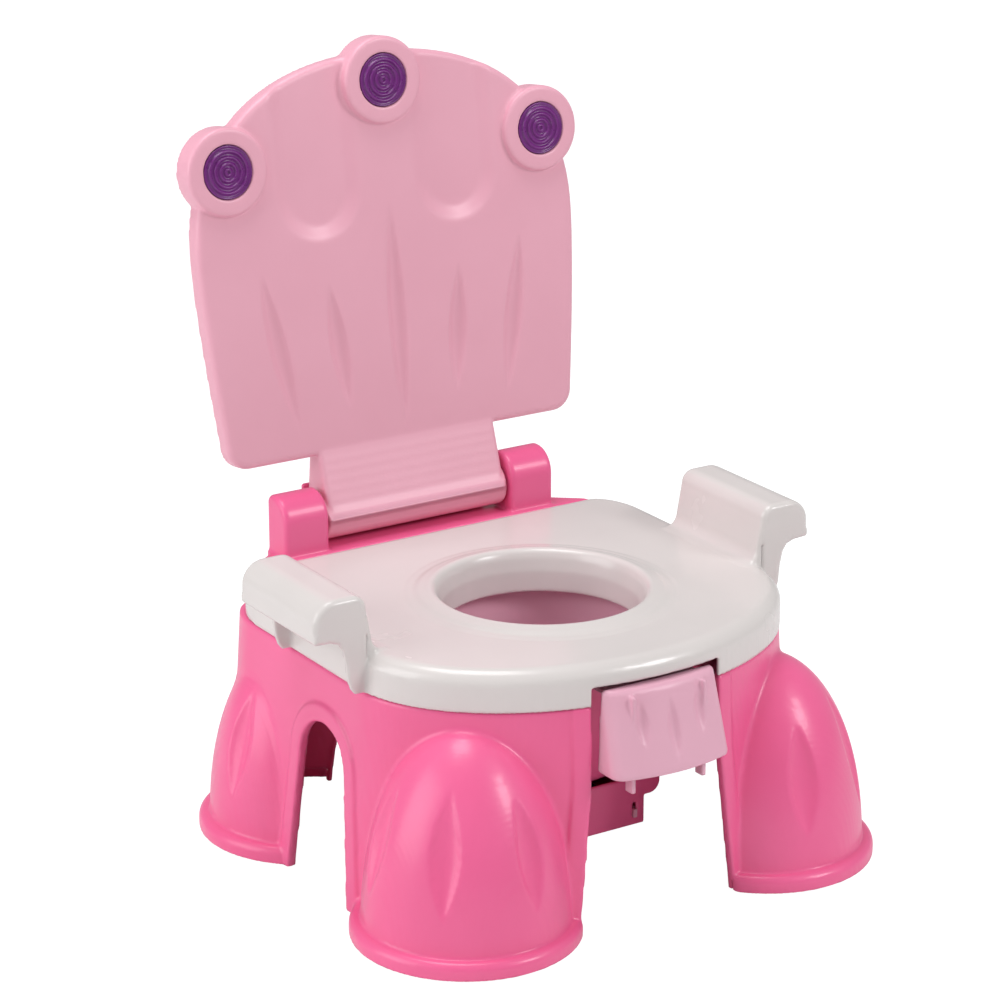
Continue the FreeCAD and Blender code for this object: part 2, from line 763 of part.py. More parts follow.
def hinge_deck():
    """Moulding behind the seat: hollow deck, two towers and the wall that stops the open lid."""
    front = plan_rear_y + slide_gap
    rear_wall = plan_rear_y + base_rear_overhang + seat_gap
    rear = deck_rear_y
    flared_wall = rear_wall + base_flare * (1 - deck_slope_z / base_top_z)
    slope = rear - rear_wall
    section = [V(0, flared_wall, deck_slope_z), V(0, rear, deck_slope_z + slope), V(0, rear, deck_top_z),
               V(0, front, deck_top_z), V(0, front, base_top_z), V(0, rear_wall, base_top_z)]
    body = extrude(polygon(section), V(2 * deck_half_rear, 0, 0)).translated(V(-deck_half_rear, 0, 0))
    wing = extrude(polygon([V(-deck_half_width, front, base_top_z), V(deck_half_width, front, base_top_z),
                            V(deck_half_rear, deck_wing_y, base_top_z),
                            V(-deck_half_rear, deck_wing_y, base_top_z)]), UP * (deck_top_z - base_top_z))
    towers = [tower(side) for side in (-1, 1)]
    lean = math.radians(lid_lean)
    stop_y = hinge_y + barrel_radius * (math.cos(lean) + math.sin(lean)) + seat_gap
    stop_wall = box(-tower_inner_x, tower_inner_x, stop_y, rear, deck_top_z - wall, stop_wall_z)
    stop_wall = stop_wall.makeFillet(wall / 2, [edge for edge in stop_wall.Edges
                                                if edge.BoundBox.ZMin > stop_wall_z - fit_gap
                                                and edge.BoundBox.XLength > wall])
    shape = fuse_all([body, wing] + towers + [stop_wall])
    shape = clean(shape)
    inner_half = deck_half_rear - wall
    room = [V(0, flared_wall, deck_slope_z + wall * 2), V(0, rear - wall, deck_slope_z + slope + wall),
            V(0, rear - wall, deck_top_z - wall), V(0, front + wall, deck_top_z - wall),
            V(0, front + wall, base_top_z), V(0, rear_wall, base_top_z)]
    hollow = extrude(polygon(room), V(2 * inner_half, 0, 0)).translated(V(-inner_half, 0, 0))
    shape = shape.cut(hollow)
    gutter = cylinder(barrel_radius + slide_gap, V(-tower_inner_x, hinge_y, hinge_z), V(1, 0, 0),
                      2 * tower_inner_x)
    shape = shape.cut(gutter)
    for x in deck_screw_x:
        start = V(x, rear_wall, deck_screw_z)
        boss = cylinder(screw_boss_radius, start, V(0, 1, 0), screw_length + wall)
        shape = shape.fuse(boss.common(fuse_all([hollow, body])))
        shape = shape.cut(cylinder(screw_radius, start, V(0, 1, 0), screw_length))
    for side in (-1, 1):
        start = V(side * tower_inner_x, hinge_y, hinge_z)
        shape = shape.cut(cylinder(pin_radius, start, V(side, 0, 0), pin_seat_depth))
    return clean(shape)


def hinge_pin(side):
    """Plain pin, tight in its tower and free in the lid's barrel."""
    start = V(side * (barrel_half - pin_depth), hinge_y, hinge_z)
    length = tower_inner_x - barrel_half + pin_depth + pin_seat_depth
    return cylinder(pin_radius, start, V(side, 0, 0), length)


def lid_outline(inset):
    """Lid outline in the XZ plane, without the arm."""
    foot = inset
    half_foot = lid_half_foot - inset
    corner = lid_corner_round
    bend = 1 - math.cos(math.pi / 4)
    curve = Part.BSplineCurve()
    points = [V(half_foot, 0, corner), V(lid_half_width - inset, 0, lid_widest_z),
              V(lid_shoulder_x - inset, 0, lid_shoulder_z), V(lid_crown_x - inset, 0, lid_crown_z - inset),
              V(0, 0, lid_height - inset), V(inset - lid_crown_x, 0, lid_crown_z - inset),
              V(inset - lid_shoulder_x, 0, lid_shoulder_z), V(inset - lid_half_width, 0, lid_widest_z),
              V(-half_foot, 0, corner)]
    curve.interpolate(points)
    right_c = V(half_foot - corner, 0, corner)
    right = arc(V(half_foot - corner, 0, foot), right_c + V(corner * (1 - bend), 0, -corner * (1 - bend)),
                points[0])
    left = arc(points[-1], V(-right_c.x - corner * (1 - bend), 0, corner * bend),
               V(corner - half_foot, 0, foot))
    return Part.Wire([line(V(corner - half_foot, 0, foot), V(half_foot - corner, 0, foot)),
                      right, curve.toShape(), left])


def boss_places():
    return ((-boss_side_x, boss_side_z), (0.0, boss_top_z), (boss_side_x, boss_side_z))


def lid_to_rest(shape):
    """Leans the upright lid back and sets it over the hinge."""
    shape = shape.translated(V(0, -lid_axis_inset, lid_drop))
    shape.rotate(V(0, 0, 0), V(1, 0, 0), -lid_lean)
    return shape.translated(V(0, hinge_y, hinge_z))


def arm_section(inset):
    """Side view of the arm in the lid's upright frame, down to the barrel."""
    axis_y = lid_axis_inset
    axis_z = -lid_drop
    radius = barrel_radius - inset
    front = axis_y - radius
    rear = axis_y + radius
    return [V(0, inset, lid_skin), V(0, front, axis_z + radius * arm_knee_share), V(0, front, axis_z),
            V(0, rear, axis_z), V(0, rear, axis_z + barrel_radius), V(0, lid_thickness, lid_skin)]


def lid_shell():
    """Front moulding of the lid: rimmed plate, crown relief, jewel cups, arm and barrel."""
    plate = extrude(lid_outline(0), V(0, lid_thickness, 0))
    front = [edge for edge in plate.Edges if edge.BoundBox.YMax < fit_gap]
    plate = plate.makeFillet(lid_edge_round, front)
    for side in (-1, 1):
        plate = plate.cut(valley(side))
    bosses = []
    for x, z in boss_places():
        boss = cylinder(boss_radius, V(x, -boss_height, z), V(0, 1, 0), boss_height + lid_thickness)
        edges = [edge for edge in boss.Edges if edge.BoundBox.YMax < -boss_height + fit_gap]
        bosses.append(boss.makeFillet(boss_round, edges))
    axis = V(-barrel_half, lid_axis_inset, -lid_drop)
    barrel = cylinder(barrel_radius, axis, V(1, 0, 0), 2 * barrel_half)
    arm = extrude(polygon(arm_section(0)), V(2 * arm_half, 0, 0)).translated(V(-arm_half, 0, 0))
    shape = fuse_all([plate, barrel, arm] + bosses)
    rooms = [extrude(lid_outline(wall), V(0, lid_thickness, 0)).translated(V(0, lid_skin, 0))]
    for x, z in boss_places():
        rooms.append(cylinder(boss_radius - wall, V(x, lid_skin - boss_height, z), V(0, 1, 0), hole_reach))
    inner_half = arm_half - wall
    arm_room = extrude(polygon(arm_section(wall)), V(2 * inner_half, 0, 0)).translated(V(-inner_half, 0, 0))
    rooms.append(arm_room)
    rear_y = lid_axis_inset + barrel_radius
    shape = shape.cut(fuse_all(rooms))
    window = box(-inner_half, inner_half, lid_thickness - panel_thickness, rear_y + wall,
                 -lid_drop + barrel_radius, lid_skin + wall)
    shape = shape.cut(window)
    for x, z in boss_places():
        shape = shape.cut(cylinder(jewel_radius + fit_gap / 2, V(x, -boss_height, z), V(0, 1, 0),
                                   jewel_depth - jewel_ring_height))
    for groove in lid_grooves():
        shape = shape.cut(groove)
    shape = clean(shape)
    for side in (-1, 1):
        plug = cylinder(barrel_radius - wall / 2, axis + V(barrel_half * (1 + side) - side * wall / 2, 0, 0),
                        V(-side, 0, 0), pin_depth + wall)
        shape = shape.fuse(plug)
        bore = cylinder(pin_radius + pin_clearance, axis + V(barrel_half * (1 + side), 0, 0),
                        V(-side, 0, 0), pin_depth + fit_gap)
        shape = shape.cut(bore)
    return lid_to_rest(clean(shape))


def valley(side):
    """Bevelled U-shaped hollow between two points of the crown."""
    def outline(y, half, foot):
        reach = lid_height + valley_bevel
        centre = side * valley_x
        straight = foot + half
        return Part.Wire([
            line(V(centre + half, y, reach), V(centre + half, y, straight)),
            arc(V(centre + half, y, straight), V(centre, y, foot), V(centre - half, y, straight)),
            line(V(centre - half, y, straight), V(centre - half, y, reach)),
            line(V(centre - half, y, reach), V(centre + half, y, reach))])
    return Part.makeLoft([outline(0, valley_half, valley_foot_z),
                          outline(valley_depth, valley_half - valley_bevel, valley_foot_z + valley_bevel)],
                         True, True)


def lid_grooves():
    """Five leaf-shaped grooves that fan up the lid's front."""
    spans = [middle_groove]
    for side in (-1, 1):
        for x0, z0, x1, z1 in side_grooves:
            spans.append((side * x0, z0, side * x1, z1))
    cutters = []
    for x0, z0, x1, z1 in spans:
        start = V(x0, 0, z0)
        along = (V(x1, 0, z1) - start)
        length = along.Length
        along.normalize()
        cutters.append(leaf(lambda travel, a=start, d=along: a + d * travel,
                            lambda travel: V(0, -1, 0), length, lid_groove_width, lid_groove_depth))
    return cutters


def jewel(x, z):
    """Round jewel with raised rings, pressed into its cup."""
    seat_y = -boss_height + jewel_depth - jewel_ring_height
    body = cylinder(jewel_radius, V(x, seat_y, z), V(0, -1, 0), jewel_depth - jewel_ring_height)
    pitch = jewel_radius / (jewel_ring_count + jewel_ring_share)
    face_y = seat_y - jewel_depth + jewel_ring_height
    for step in range(1, jewel_ring_count + 1):
        outer = cylinder(pitch * step, V(x, face_y, z), V(0, -1, 0), jewel_ring_height)
        inner = cylinder(pitch * (step - jewel_ring_share), V(x, face_y, z), V(0, -1, 0), jewel_ring_height)
        body = body.fuse(outer.cut(inner))
    return lid_to_rest(clean(body))


def step_panel():
    """Rear panel of the lid, the surface stood on when the lid is shut, with grip bars."""
    back = lid_thickness
    front = back - panel_thickness
    margin = wall + seat_gap
    plate = extrude(lid_outline(margin), V(0, panel_thickness, 0)).translated(V(0, front, 0))
    discs = [cylinder(boss_radius - margin, V(x, front, z), V(0, 1, 0), panel_thickness)
             for x, z in boss_places()]
    shape = fuse_all([plate] + discs)
    for step in range(tread_count):
        z = tread_first_z + step * tread_pitch
        bar = box(-tread_half_length, tread_half_length, back, back + tread_height,
                  z - tread_width / 2, z + tread_width / 2)
        shape = shape.fuse(bar)
    return lid_to_rest(clean(shape))


def arm_cover():
    """Plate that closes the back of the arm."""
    half = arm_half - wall - seat_gap
    rear_y = lid_axis_inset + barrel_radius
    low = -lid_drop + barrel_radius + seat_gap
    side_view = polygon([V(0, rear_y, low), V(0, lid_thickness, wall),
                         V(0, lid_thickness - panel_thickness, wall),
                         V(0, rear_y - panel_thickness, low)])
    cover = extrude(side_view, V(2 * half, 0, 0)).translated(V(-half, 0, 0))
    return lid_to_rest(cover)


def unit_wire(inset):
    """Stepped section of the sound unit in the XZ plane, open at the top."""
    upper = unit_half_upper - inset
    lower = unit_half_lower - inset
    foot = unit_foot_z + inset
    step = unit_step_z + inset
    top = well_floor_z
    corner = unit_corner - inset
    bend = corner * (1 - math.cos(math.pi / 4))
    right = [line(V(lower, 0, foot), V(lower, 0, step)),
             line(V(lower, 0, step), V(upper - corner, 0, step)),
             arc(V(upper - corner, 0, step), V(upper - bend, 0, step + bend), V(upper, 0, step + corner)),
             line(V(upper, 0, step + corner), V(upper, 0, top))]
    left = [line(V(-upper, 0, top), V(-upper, 0, step + corner)),
            arc(V(-upper, 0, step + corner), V(bend - upper, 0, step + bend), V(corner - upper, 0, step)),
            line(V(corner - upper, 0, step), V(-lower, 0, step)),
            line(V(-lower, 0, step), V(-lower, 0, foot))]
    return Part.Wire([line(V(-lower, 0, foot), V(lower, 0, foot))] + right +
                     [line(V(upper, 0, top), V(-upper, 0, top))] + left)


def tray_half():
    return 2 * cell_radius + cell_gap / 2 + cell_gap


def tray_ends():
    half = cell_length / 2 + cell_tip_length + tray_end_room
    return cell_centre_y - half, cell_centre_y + half


def sound_housing():
    """Stepped box under the well for the cells, the board and the speaker."""
    depth = 2 * unit_half_depth
    outer = extrude(unit_wire(0), V(0, depth, 0)).translated(V(0, -unit_half_depth, 0))
    inner = extrude(unit_wire(unit_wall), V(0, depth - 2 * unit_wall, 0))
    shape = outer.cut(inner.translated(V(0, unit_wall - unit_half_depth, 0)))
    floor = unit_foot_z + unit_wall
    half = tray_half() + unit_wall
    low, high = tray_ends()
    tray = box(-half, half, low - unit_wall, high + unit_wall, floor, unit_step_z)
    tray = tray.cut(box(-tray_half(), tray_half(), low, high, floor, unit_step_z))
    post = cylinder(screw_boss_radius, V(0, door_screw_y, floor), UP, unit_step_z - floor)
    columns = [cylinder(screw_boss_radius, place + UP * floor, UP, unit_step_z + screw_boss_radius - floor)
               for place in unit_screw_places()]
    shape = fuse_all([shape, tray, post] + columns)
    for place in unit_screw_places():
        shape = shape.cut(cylinder(screw_head_radius + screw_clearance, place, UP, unit_step_z))
        shape = shape.cut(cylinder(screw_radius + screw_clearance, place, UP, tool_reach))
    shape = shape.cut(box(-tray_half(), tray_half(), low, door_rear_y, unit_foot_z, floor))
    shape = shape.cut(cylinder(screw_radius, V(0, door_screw_y, unit_foot_z), UP, screw_length))
    for step in range(grille_hole_count):
        angle = 2 * math.pi * step / grille_hole_count
        place = V(grille_ring_radius * math.cos(angle), speaker_y + grille_ring_radius * math.sin(angle), 0)
        shape = shape.cut(cylinder(grille_hole_radius, place, UP, floor + fit_gap))
    slot = box(switch_x - switch_slot_width / 2, switch_x + switch_slot_width / 2,
               -unit_half_depth - slide_gap, unit_wall - unit_half_depth + slide_gap,
               switch_slot_z, switch_slot_z + switch_slot_height)
    return clean(shape.cut(slot))


def battery_door():
    """Flat door flush in the floor of the sound unit."""
    low = tray_ends()[0]
    half = tray_half() - seat_gap
    door = box(-half, half, low + seat_gap, door_rear_y - seat_gap, unit_foot_z, unit_foot_z + unit_wall)
    door = door.cut(cylinder(screw_radius + screw_clearance, V(0, door_screw_y, 0), UP, tool_reach))
    return door.cut(cylinder(screw_head_radius + screw_clearance, V(0, door_screw_y, 0), UP,
                             unit_foot_z + screw_head_height / 2))


def cells():
    """Two cells side by side, pointing opposite ways."""
    axis_z = unit_foot_z + unit_wall + cell_gap + cell_radius
    shapes = []
    for side in (-1, 1):
        start = V(side * (cell_radius + cell_gap / 2), cell_centre_y - side * cell_length / 2, axis_z)
        can = cylinder(cell_radius, start, V(0, side, 0), cell_length)
        tip = cylinder(cell_tip_radius, start + V(0, side * cell_length, 0), V(0, side, 0), cell_tip_length)
        shapes.append(can.fuse(tip))
    return Part.makeCompound(shapes)


def contact_springs():
    """Plates at both ends of the cells, each with a coned spring against one cell."""
    low, high = tray_ends()
    axis_z = unit_foot_z + unit_wall + cell_gap + cell_radius
    half = tray_half() - seat_gap
    shapes = []
    for side, wall_y in ((-1, low), (1, high)):
        inner_y = wall_y - side * contact_thickness
        plate = box(-half, half, min(wall_y, inner_y), max(wall_y, inner_y),
                    axis_z - cell_radius, axis_z + cell_radius)
        x = -side * (cell_radius + cell_gap / 2)
        reach = abs(inner_y - cell_centre_y) - cell_length / 2
        spring = Part.makeCone(spring_radius, cell_tip_radius, reach,
                               V(x, inner_y, axis_z), V(0, -side, 0))
        tip_reach = reach - cell_tip_length
        dimple = Part.makeCone(cell_tip_radius, cell_tip_radius / 2, tip_reach,
                               V(-x, inner_y, axis_z), V(0, -side, 0))
        shapes.append(plate.fuse([spring, dimple]))
    return Part.makeCompound(shapes)


def circuit_board():
    """Board on the tray walls, with its chip and two capacitors."""
    low, high = tray_ends()
    half = tray_half() + unit_wall * 2
    top = unit_step_z + board_thickness
    board = box(-half, half, low - unit_wall, high + unit_wall, unit_step_z, top)
    chip = box(-chip_half, chip_half, high - chip_length, high, top, top + board_thickness)
    caps = [cylinder(capacitor_radius, V(x, capacitor_y, top), UP, capacitor_height)
            for x in (-capacitor_x, capacitor_x)]
    return clean(fuse_all([board, chip] + caps))


def speaker():
    """Small round speaker facing down over the grille holes."""
    floor = unit_foot_z + unit_wall
    rim = speaker_radius
    magnet = speaker_radius / 2
    frame = revolve_polygon([(0, floor), (rim, floor), (rim, floor + wall),
                             (magnet, floor + speaker_height / 2), (magnet, floor + speaker_height),
                             (0, floor + speaker_height)])
    return frame.translated(V(0, speaker_y, 0))


def power_switch():
    """Sliding switch: knob through the slot and a flange behind it."""
    half = switch_slot_width / 2 - seat_gap
    knob_height = switch_slot_height - switch_travel - 2 * seat_gap
    low = switch_slot_z + seat_gap
    inner_y = unit_wall - unit_half_depth
    knob = box(switch_x - half, switch_x + half, -unit_half_depth - switch_knob_proud,
               inner_y + seat_gap, low, low + knob_height)
    plate = box(switch_x - 2 * half - slide_gap, switch_x + 2 * half + slide_gap, inner_y + seat_gap,
                inner_y + seat_gap + board_thickness, low, low + knob_height)
    return knob.fuse(plate)


def sensor_studs():
    """Metal studs through the well's floor, down to the board."""
    shapes = []
    foot = unit_step_z + board_thickness
    top = well_floor_z + wall
    for x in (-stud_x, stud_x):
        shank = cylinder(stud_radius, V(x, stud_y, foot), UP, top - foot)
        head = cylinder(stud_head_radius, V(x, stud_y, top), UP, stud_head_height)
        shapes.append(shank.fuse(head))
    return Part.makeCompound(shapes)


def deck_screws():
    """Screws through the rear wall into the hinge deck."""
    inner_face = plan_rear_y + base_rear_overhang - wall
    shapes = []
    for x in deck_screw_x:
        item = screw(screw_length + wall - slide_gap)
        item.rotate(V(0, 0, 0), V(1, 0, 0), -90)
        shapes.append(item.translated(V(x, inner_face, deck_screw_z)))
    return Part.makeCompound(shapes)


def unit_screws():
    """Screws up through the sound unit into the well."""
    length = well_floor_z - unit_step_z + wall / 2
    return Part.makeCompound([screw(length).translated(place + UP * unit_step_z)
                              for place in unit_screw_places()])


def door_screw():
    return screw(screw_length - wall).translated(V(0, door_screw_y, unit_foot_z + screw_head_height / 2))


def build_parts():
    parts = {
        "base_shell": base_shell(),
        "hinge_deck": hinge_deck(),
        "deck_screws": deck_screws(),
        "hinge_pin_left": hinge_pin(-1),
        "hinge_pin_right": hinge_pin(1),
        "bowl_well": bowl_well(),
        "sound_housing": sound_housing(),
        "housing_screws": unit_screws(),
        "battery_door": battery_door(),
        "battery_door_screw": door_screw(),
        "battery_cells": cells(),
        "contact_springs": contact_springs(),
        "circuit_board": circuit_board(),
        "speaker": speaker(),
        "power_switch": power_switch(),
        "sensor_studs": sensor_studs(),
        "bowl": bowl(),
        "seat_ring": seat_ring(),
        "lid_shell": lid_shell(),
        "lid_step_panel": step_panel(),
        "lid_arm_cover": arm_cover(),
    }
    parts.update(foot_pads())
    for name, (x, z) in zip(("left", "centre", "right"), boss_places()):
        parts["jewel_" + name] = jewel(x, z)
    return parts


def main():
    os.makedirs("parts", exist_ok=True)
    parts = build_parts()
    whole = Part.makeCompound(list(parts.values())).optimalBoundingBox(False, False)
    shift = V(-(whole.XMin + whole.XMax) / 2, -(whole.YMin + whole.YMax) / 2, -whole.ZMin)
    for name, shape in parts.items():
        placed = shape.translated(shift)
        placed.exportStep(os.path.join("parts", name + ".step"))
        bounds = placed.optimalBoundingBox(False, False)
        print(name, "solids", len(placed.Solids), "valid", placed.isValid(), "volume", round(placed.Volume),
              "box", [round(value, 1) for value in (bounds.XMin, bounds.YMin, bounds.ZMin,
                                                    bounds.XMax, bounds.YMax, bounds.ZMax)])
    print("shift", shift, "hinge at", V(0, hinge_y, hinge_z) + shift)


main()
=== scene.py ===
"""Looks of the potty training chair: smooth mouldings, procedural plastics, soft studio light.

Each visible moulding is written as a field of signed distances on a grid and meshed, so that its
walls, rounds and blends are those of a moulding. Lengths in this file are millimetres about the
axis of the seat's hole, on the floor, unless a name ends in _M or a comment says otherwise.
Angles are degrees.
"""
import math

import bpy
import numpy as np
import openvdb
from mathutils import Matrix, Vector


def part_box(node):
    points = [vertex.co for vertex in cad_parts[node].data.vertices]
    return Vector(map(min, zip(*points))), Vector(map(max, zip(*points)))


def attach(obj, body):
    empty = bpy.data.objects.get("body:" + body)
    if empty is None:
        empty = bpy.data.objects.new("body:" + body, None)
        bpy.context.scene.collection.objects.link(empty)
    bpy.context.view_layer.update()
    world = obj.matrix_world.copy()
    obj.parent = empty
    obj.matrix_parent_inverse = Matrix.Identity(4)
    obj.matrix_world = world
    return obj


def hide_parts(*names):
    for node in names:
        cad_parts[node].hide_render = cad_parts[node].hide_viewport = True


METRE = 0.001

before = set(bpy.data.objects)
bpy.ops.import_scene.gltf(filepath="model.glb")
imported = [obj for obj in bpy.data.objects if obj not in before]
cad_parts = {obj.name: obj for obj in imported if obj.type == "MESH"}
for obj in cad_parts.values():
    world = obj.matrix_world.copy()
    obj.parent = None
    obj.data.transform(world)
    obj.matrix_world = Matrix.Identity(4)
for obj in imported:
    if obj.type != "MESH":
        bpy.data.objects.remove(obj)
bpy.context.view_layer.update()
well_low, well_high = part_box("bowl_well")
AXIS_Y_M = (well_low.y + well_high.y) / 2
TO_ROW = Matrix.Translation((0, AXIS_Y_M, 0)) @ Matrix.Scale(METRE, 4)

# Body plan
PLAN_HALF = 150.0
PLAN_CENTRE_Y = -25.0
PLAN_FRONT = 107.0
PLAN_REAR_Y = 140.0
PLAN_CORNER = (24.0, 38.0)
WALL = 3.0

# Base shell
BASE_TOP_Z = 146.0
BASE_FLARE = 9.0
BASE_FRONT_INSET = 2.0
BASE_REAR_OVERHANG = 8.0
BASE_FOOT_GAP = 0.8
DECK_HOLE_RADIUS = 84.0
LEG_X = 112.0
LEG_FRONT_Y = -88.0
LEG_REAR_Y = 106.0
# Place of each right-hand leg's axis, and the way that its middle dent faces
LEGS = ((LEG_FRONT_Y, -45.0), (LEG_REAR_Y, 45.0))
LEG_RADIUS = 65.0
LEG_HEIGHT = 135.0
PETAL_POWER = 2.2
PETAL_FULLNESS = 0.5
FLANGE_RADIUS = 72.0
FLANGE_HEIGHT = 12.0
FLANGE_ROUND = 5.0
DENT_DEPTH = 4.4
DENT_WIDTH = 20.0
DENT_SPREAD = 55.0
MIDDLE_DENT = (34.0, 112.0)
SIDE_DENT = (34.0, 104.0)
BORDER_WIDTH = 12.0
BORDER_HEIGHT = 2.0
LINING_DEPTH = 4.5
ARCH_FOOT = 58.0
ARCH_WAIST = 48.0
ARCH_WAIST_Z = 92.0
NOTCH_HALF = 47.0
NOTCH_Z = 117.0
REAR_ARCH_FOOT = 68.0
REAR_ARCH_WAIST = 60.0
REAR_ARCH_WAIST_Z = 61.0
REAR_ARCH_TOP_Z = 103.0
SIDE_ARCH_Y = 12.0
SIDE_ARCH_FOOT = 37.0
SIDE_ARCH_WAIST = 27.0
SIDE_ARCH_WAIST_Z = 85.0
SIDE_ARCH_TOP_Z = 111.0
PAD_INNER = 52.0
PAD_HEIGHT = 3.0
PAD_HALF_ANGLE = 32.0

# Seat ring
SEAT_TOP_Z = 172.0
SKIRT_Z = 146.2
SEAT_ROUND = 10.0
CREST_Z = 176.0
CREST_RADIUS = 69.2
COLLAR_OUTER = 82.0
COLLAR_FOOT_RADIUS = 62.0
COLLAR_FOOT_Z = 148.0
SEAT_NOTCH_HALF = 46.5
SEAT_NOTCH_TOP_Z = 158.3
SEAT_NOTCH_Y = -103.0
HANDLE_Y = (-35.0, 58.0)
HANDLE_WALL_X = 144.5
HANDLE_LEAN = 3.5
HANDLE_FOOT_ROUND = 10.0
HANDLE_INNER_ROUND = 9.0
HANDLE_OUTER_ROUND = 15.0
HANDLE_OUTER_X = 184.5
HANDLE_TOP_Z = 210.0
HANDLE_LIP_Z = 184.0
HANDLE_WEB_FOOT = (157.0, SKIRT_Z + 0.8)
HANDLE_WEB_CURVE = ((160.0, 151.0), (162.0, 157.0), (163.0, 168.0),
                    (165.0, 177.0), (168.0, 181.5), (174.0, 183.5))

# Bowl and well
WELL_RADIUS = 80.0
WELL_FLANGE_RADIUS = 92.0
WELL_FLOOR_RADIUS = 55.0
WELL_FLOOR_Z = 58.0
WELL_ROUND = 10.0
WELL_ROUND_INSET = 8.0
BOWL_RIM_RADIUS = 88.0
BOWL_RIM_Z = (149.2, 152.2)
BOWL_FLOOR_Z = 62.0
BOWL_WALL = 2.5
BOWL_ROUND = 12.0
BOWL_ROUND_INSET = 9.0
TAB_TOP_Z = 156.0
TAB_FOOT_Z = 103.0
TAB_HALF_TOP = 41.0
TAB_HALF_FOOT = 43.0
TAB_BACK_Y = -127.0
TAB_SIDE_Y = -131.5
TAB_FRONT_Y = -138.5
TAB_LEAN = 16.0
TAB_GROOVES = ((-21.0, 22.0), (0.0, 33.0), (21.0, 22.0))
TAB_GROOVE_TOP_Z = 146.0
TAB_GROOVE_WIDTH = 8.5
TAB_GROOVE_DEPTH = 2.4
TAB_GROOVE_RUN_OUT = 3.0
GUIDE_X = 26.0
GUIDE_Y = (-142.0, -134.0)
GUIDE_FOOT_Z = 90.0
NECK_HALF = 34.0

# Hinge
HINGE_Y = 162.5
HINGE_Z = 186.0
BARREL_RADIUS = 14.5
BARREL_HALF = 69.5
DECK_HALF = 110.0
WING_HALF = 134.0
WING_Y = 160.0
DECK_TOP_Z = 169.0
DECK_REAR_Y = 182.0
DECK_SLOPE_Z = 116.0
DECK_CORNER = 32.0
DECK_CLEARANCE = 0.2
DECK_FRONT_GAP = 1.0
TOWER_X = (71.0, 104.0)
TOWER_Y = (144.0, 169.0)
TOWER_TOP_Z = 208.0
TOWER_ROUNDS = (17.0, 6.0)
STOP_WALL_Y = 179.0
STOP_WALL_Z = 205.0

# Lid, drawn upright with its face on y = 0 and its lower edge at z = 0
LID_LEAN = 7.3
LID_DROP = 42.0
LID_AXIS_INSET = 5.5
LID_THICKNESS = 13.0
LID_SKIN = 4.0
LID_EDGE_ROUND = 4.0
LID_HALF_FOOT = 133.0
LID_CORNER = 15.0
LID_SIDE = ((142.4, 120.0), (140.0, 168.0), (107.0, 224.0))
LID_HEIGHT = 258.0
ARM_HALF = 68.0
ARM_TANGENT = 166.0
BOSS_RADIUS = 28.5
BOSS_HEIGHT = 4.5
BOSS_ROUND = 2.5
ARM_TOP_Z = 10.0
PIN_BORE_RADIUS = 4.1
PIN_BORE_X = 58.0
BOSSES = ((-118.5, 194.0), (0.0, 239.5), (118.5, 194.0))
JEWEL_RADIUS = 17.2
JEWEL_EDGE = 3.3
JEWEL_VALLEY = 2.1
JEWEL_RING_HEIGHT = 1.8
JEWEL_RINGS = 4.5
JEWEL_CLEARANCE = 0.4
VALLEY_X = 52.0
VALLEY_HALF = 33.0
VALLEY_FOOT_Z = 139.0
VALLEY_BEVEL = 13.0
VALLEY_DEPTH = 3.2
LID_GROOVES = ((0.0, 8.0, 0.0, 161.0), (41.0, 26.0, 50.0, 113.0), (80.0, 18.0, 100.0, 128.0))
LID_GROOVE_WIDTH = 14.0
LID_GROOVE_DEPTH = 3.6
PANEL_THICKNESS = 2.5
TREADS = 9
TREAD_PITCH = 20.0
TREAD_FIRST_Z = 30.0
TREAD_HALF = 95.0
TREAD_RADIUS = 2.5
TREAD_HEIGHT = 1.0
PANEL_CLEARANCE = 0.3
# From the lid's drawing to its place on the hinge
LID_PLACE = (Matrix.Translation((0, HINGE_Y, HINGE_Z)) @ Matrix.Rotation(math.radians(-LID_LEAN), 4, "X")
             @ Matrix.Translation((0, -LID_AXIS_INSET, LID_DROP)))

# Sound unit
UNIT_UPPER = 52.0
UNIT_LOWER = 40.0
UNIT_DEPTH = 60.0
UNIT_FOOT_Z = 25.0
UNIT_STEP_Z = 44.0
UNIT_WALL = 2.5
UNIT_CORNER = 8.0
UNIT_SCREW = (33.5, 49.0)
COLUMN_RADIUS = 4.5
COLUMN_BORE = 3.5
COLUMN_JOINT_Z = UNIT_STEP_Z + 4.5
SWITCH_X = 32.0
SLOT_HALF = 1.5
SLOT_Z = (30.5, 40.5)
SPEAKER_Y = 38.0
GRILLE_RING = 8.0
GRILLE_HOLES = 8
GRILLE_HOLE_RADIUS = 1.5
DOOR_HALF = 15.0
DOOR_Y = (-50.75, 20.0)

# Meshes, in voxels: the fields' band, the margin round a grid, and how points are evened out
BAND = 4.0
GRID_PAD = 2.87
RELAX_PULLS = (0.5, -0.52)
SNAP_SHARE = 0.7

# Plastics
GRAIN_SCALE = 900.0
GRAIN_HEIGHT_M = 0.0002
COAT_ROUGHNESS = 0.12

# Studio, in metres and watts
FLOOR_COLOUR = (245, 245, 245)
FLOOR_EMISSION = 1.25
FLOOR_GLOW = 0.8
FLOOR_REACH_M = 12.0
AMBIENT = 0.36
LAMP_AIM = (0, 0, 0.2)
# Name, place, side and power of each lamp
LAMPS = (("key", (1.3, -1.9, 1.7), 0.8, 25.0), ("top", (-0.3, 0.1, 2.2), 1.0, 20.0),
         ("left", (-2.4, 0.4, 1.1), 1.8, 30.0))

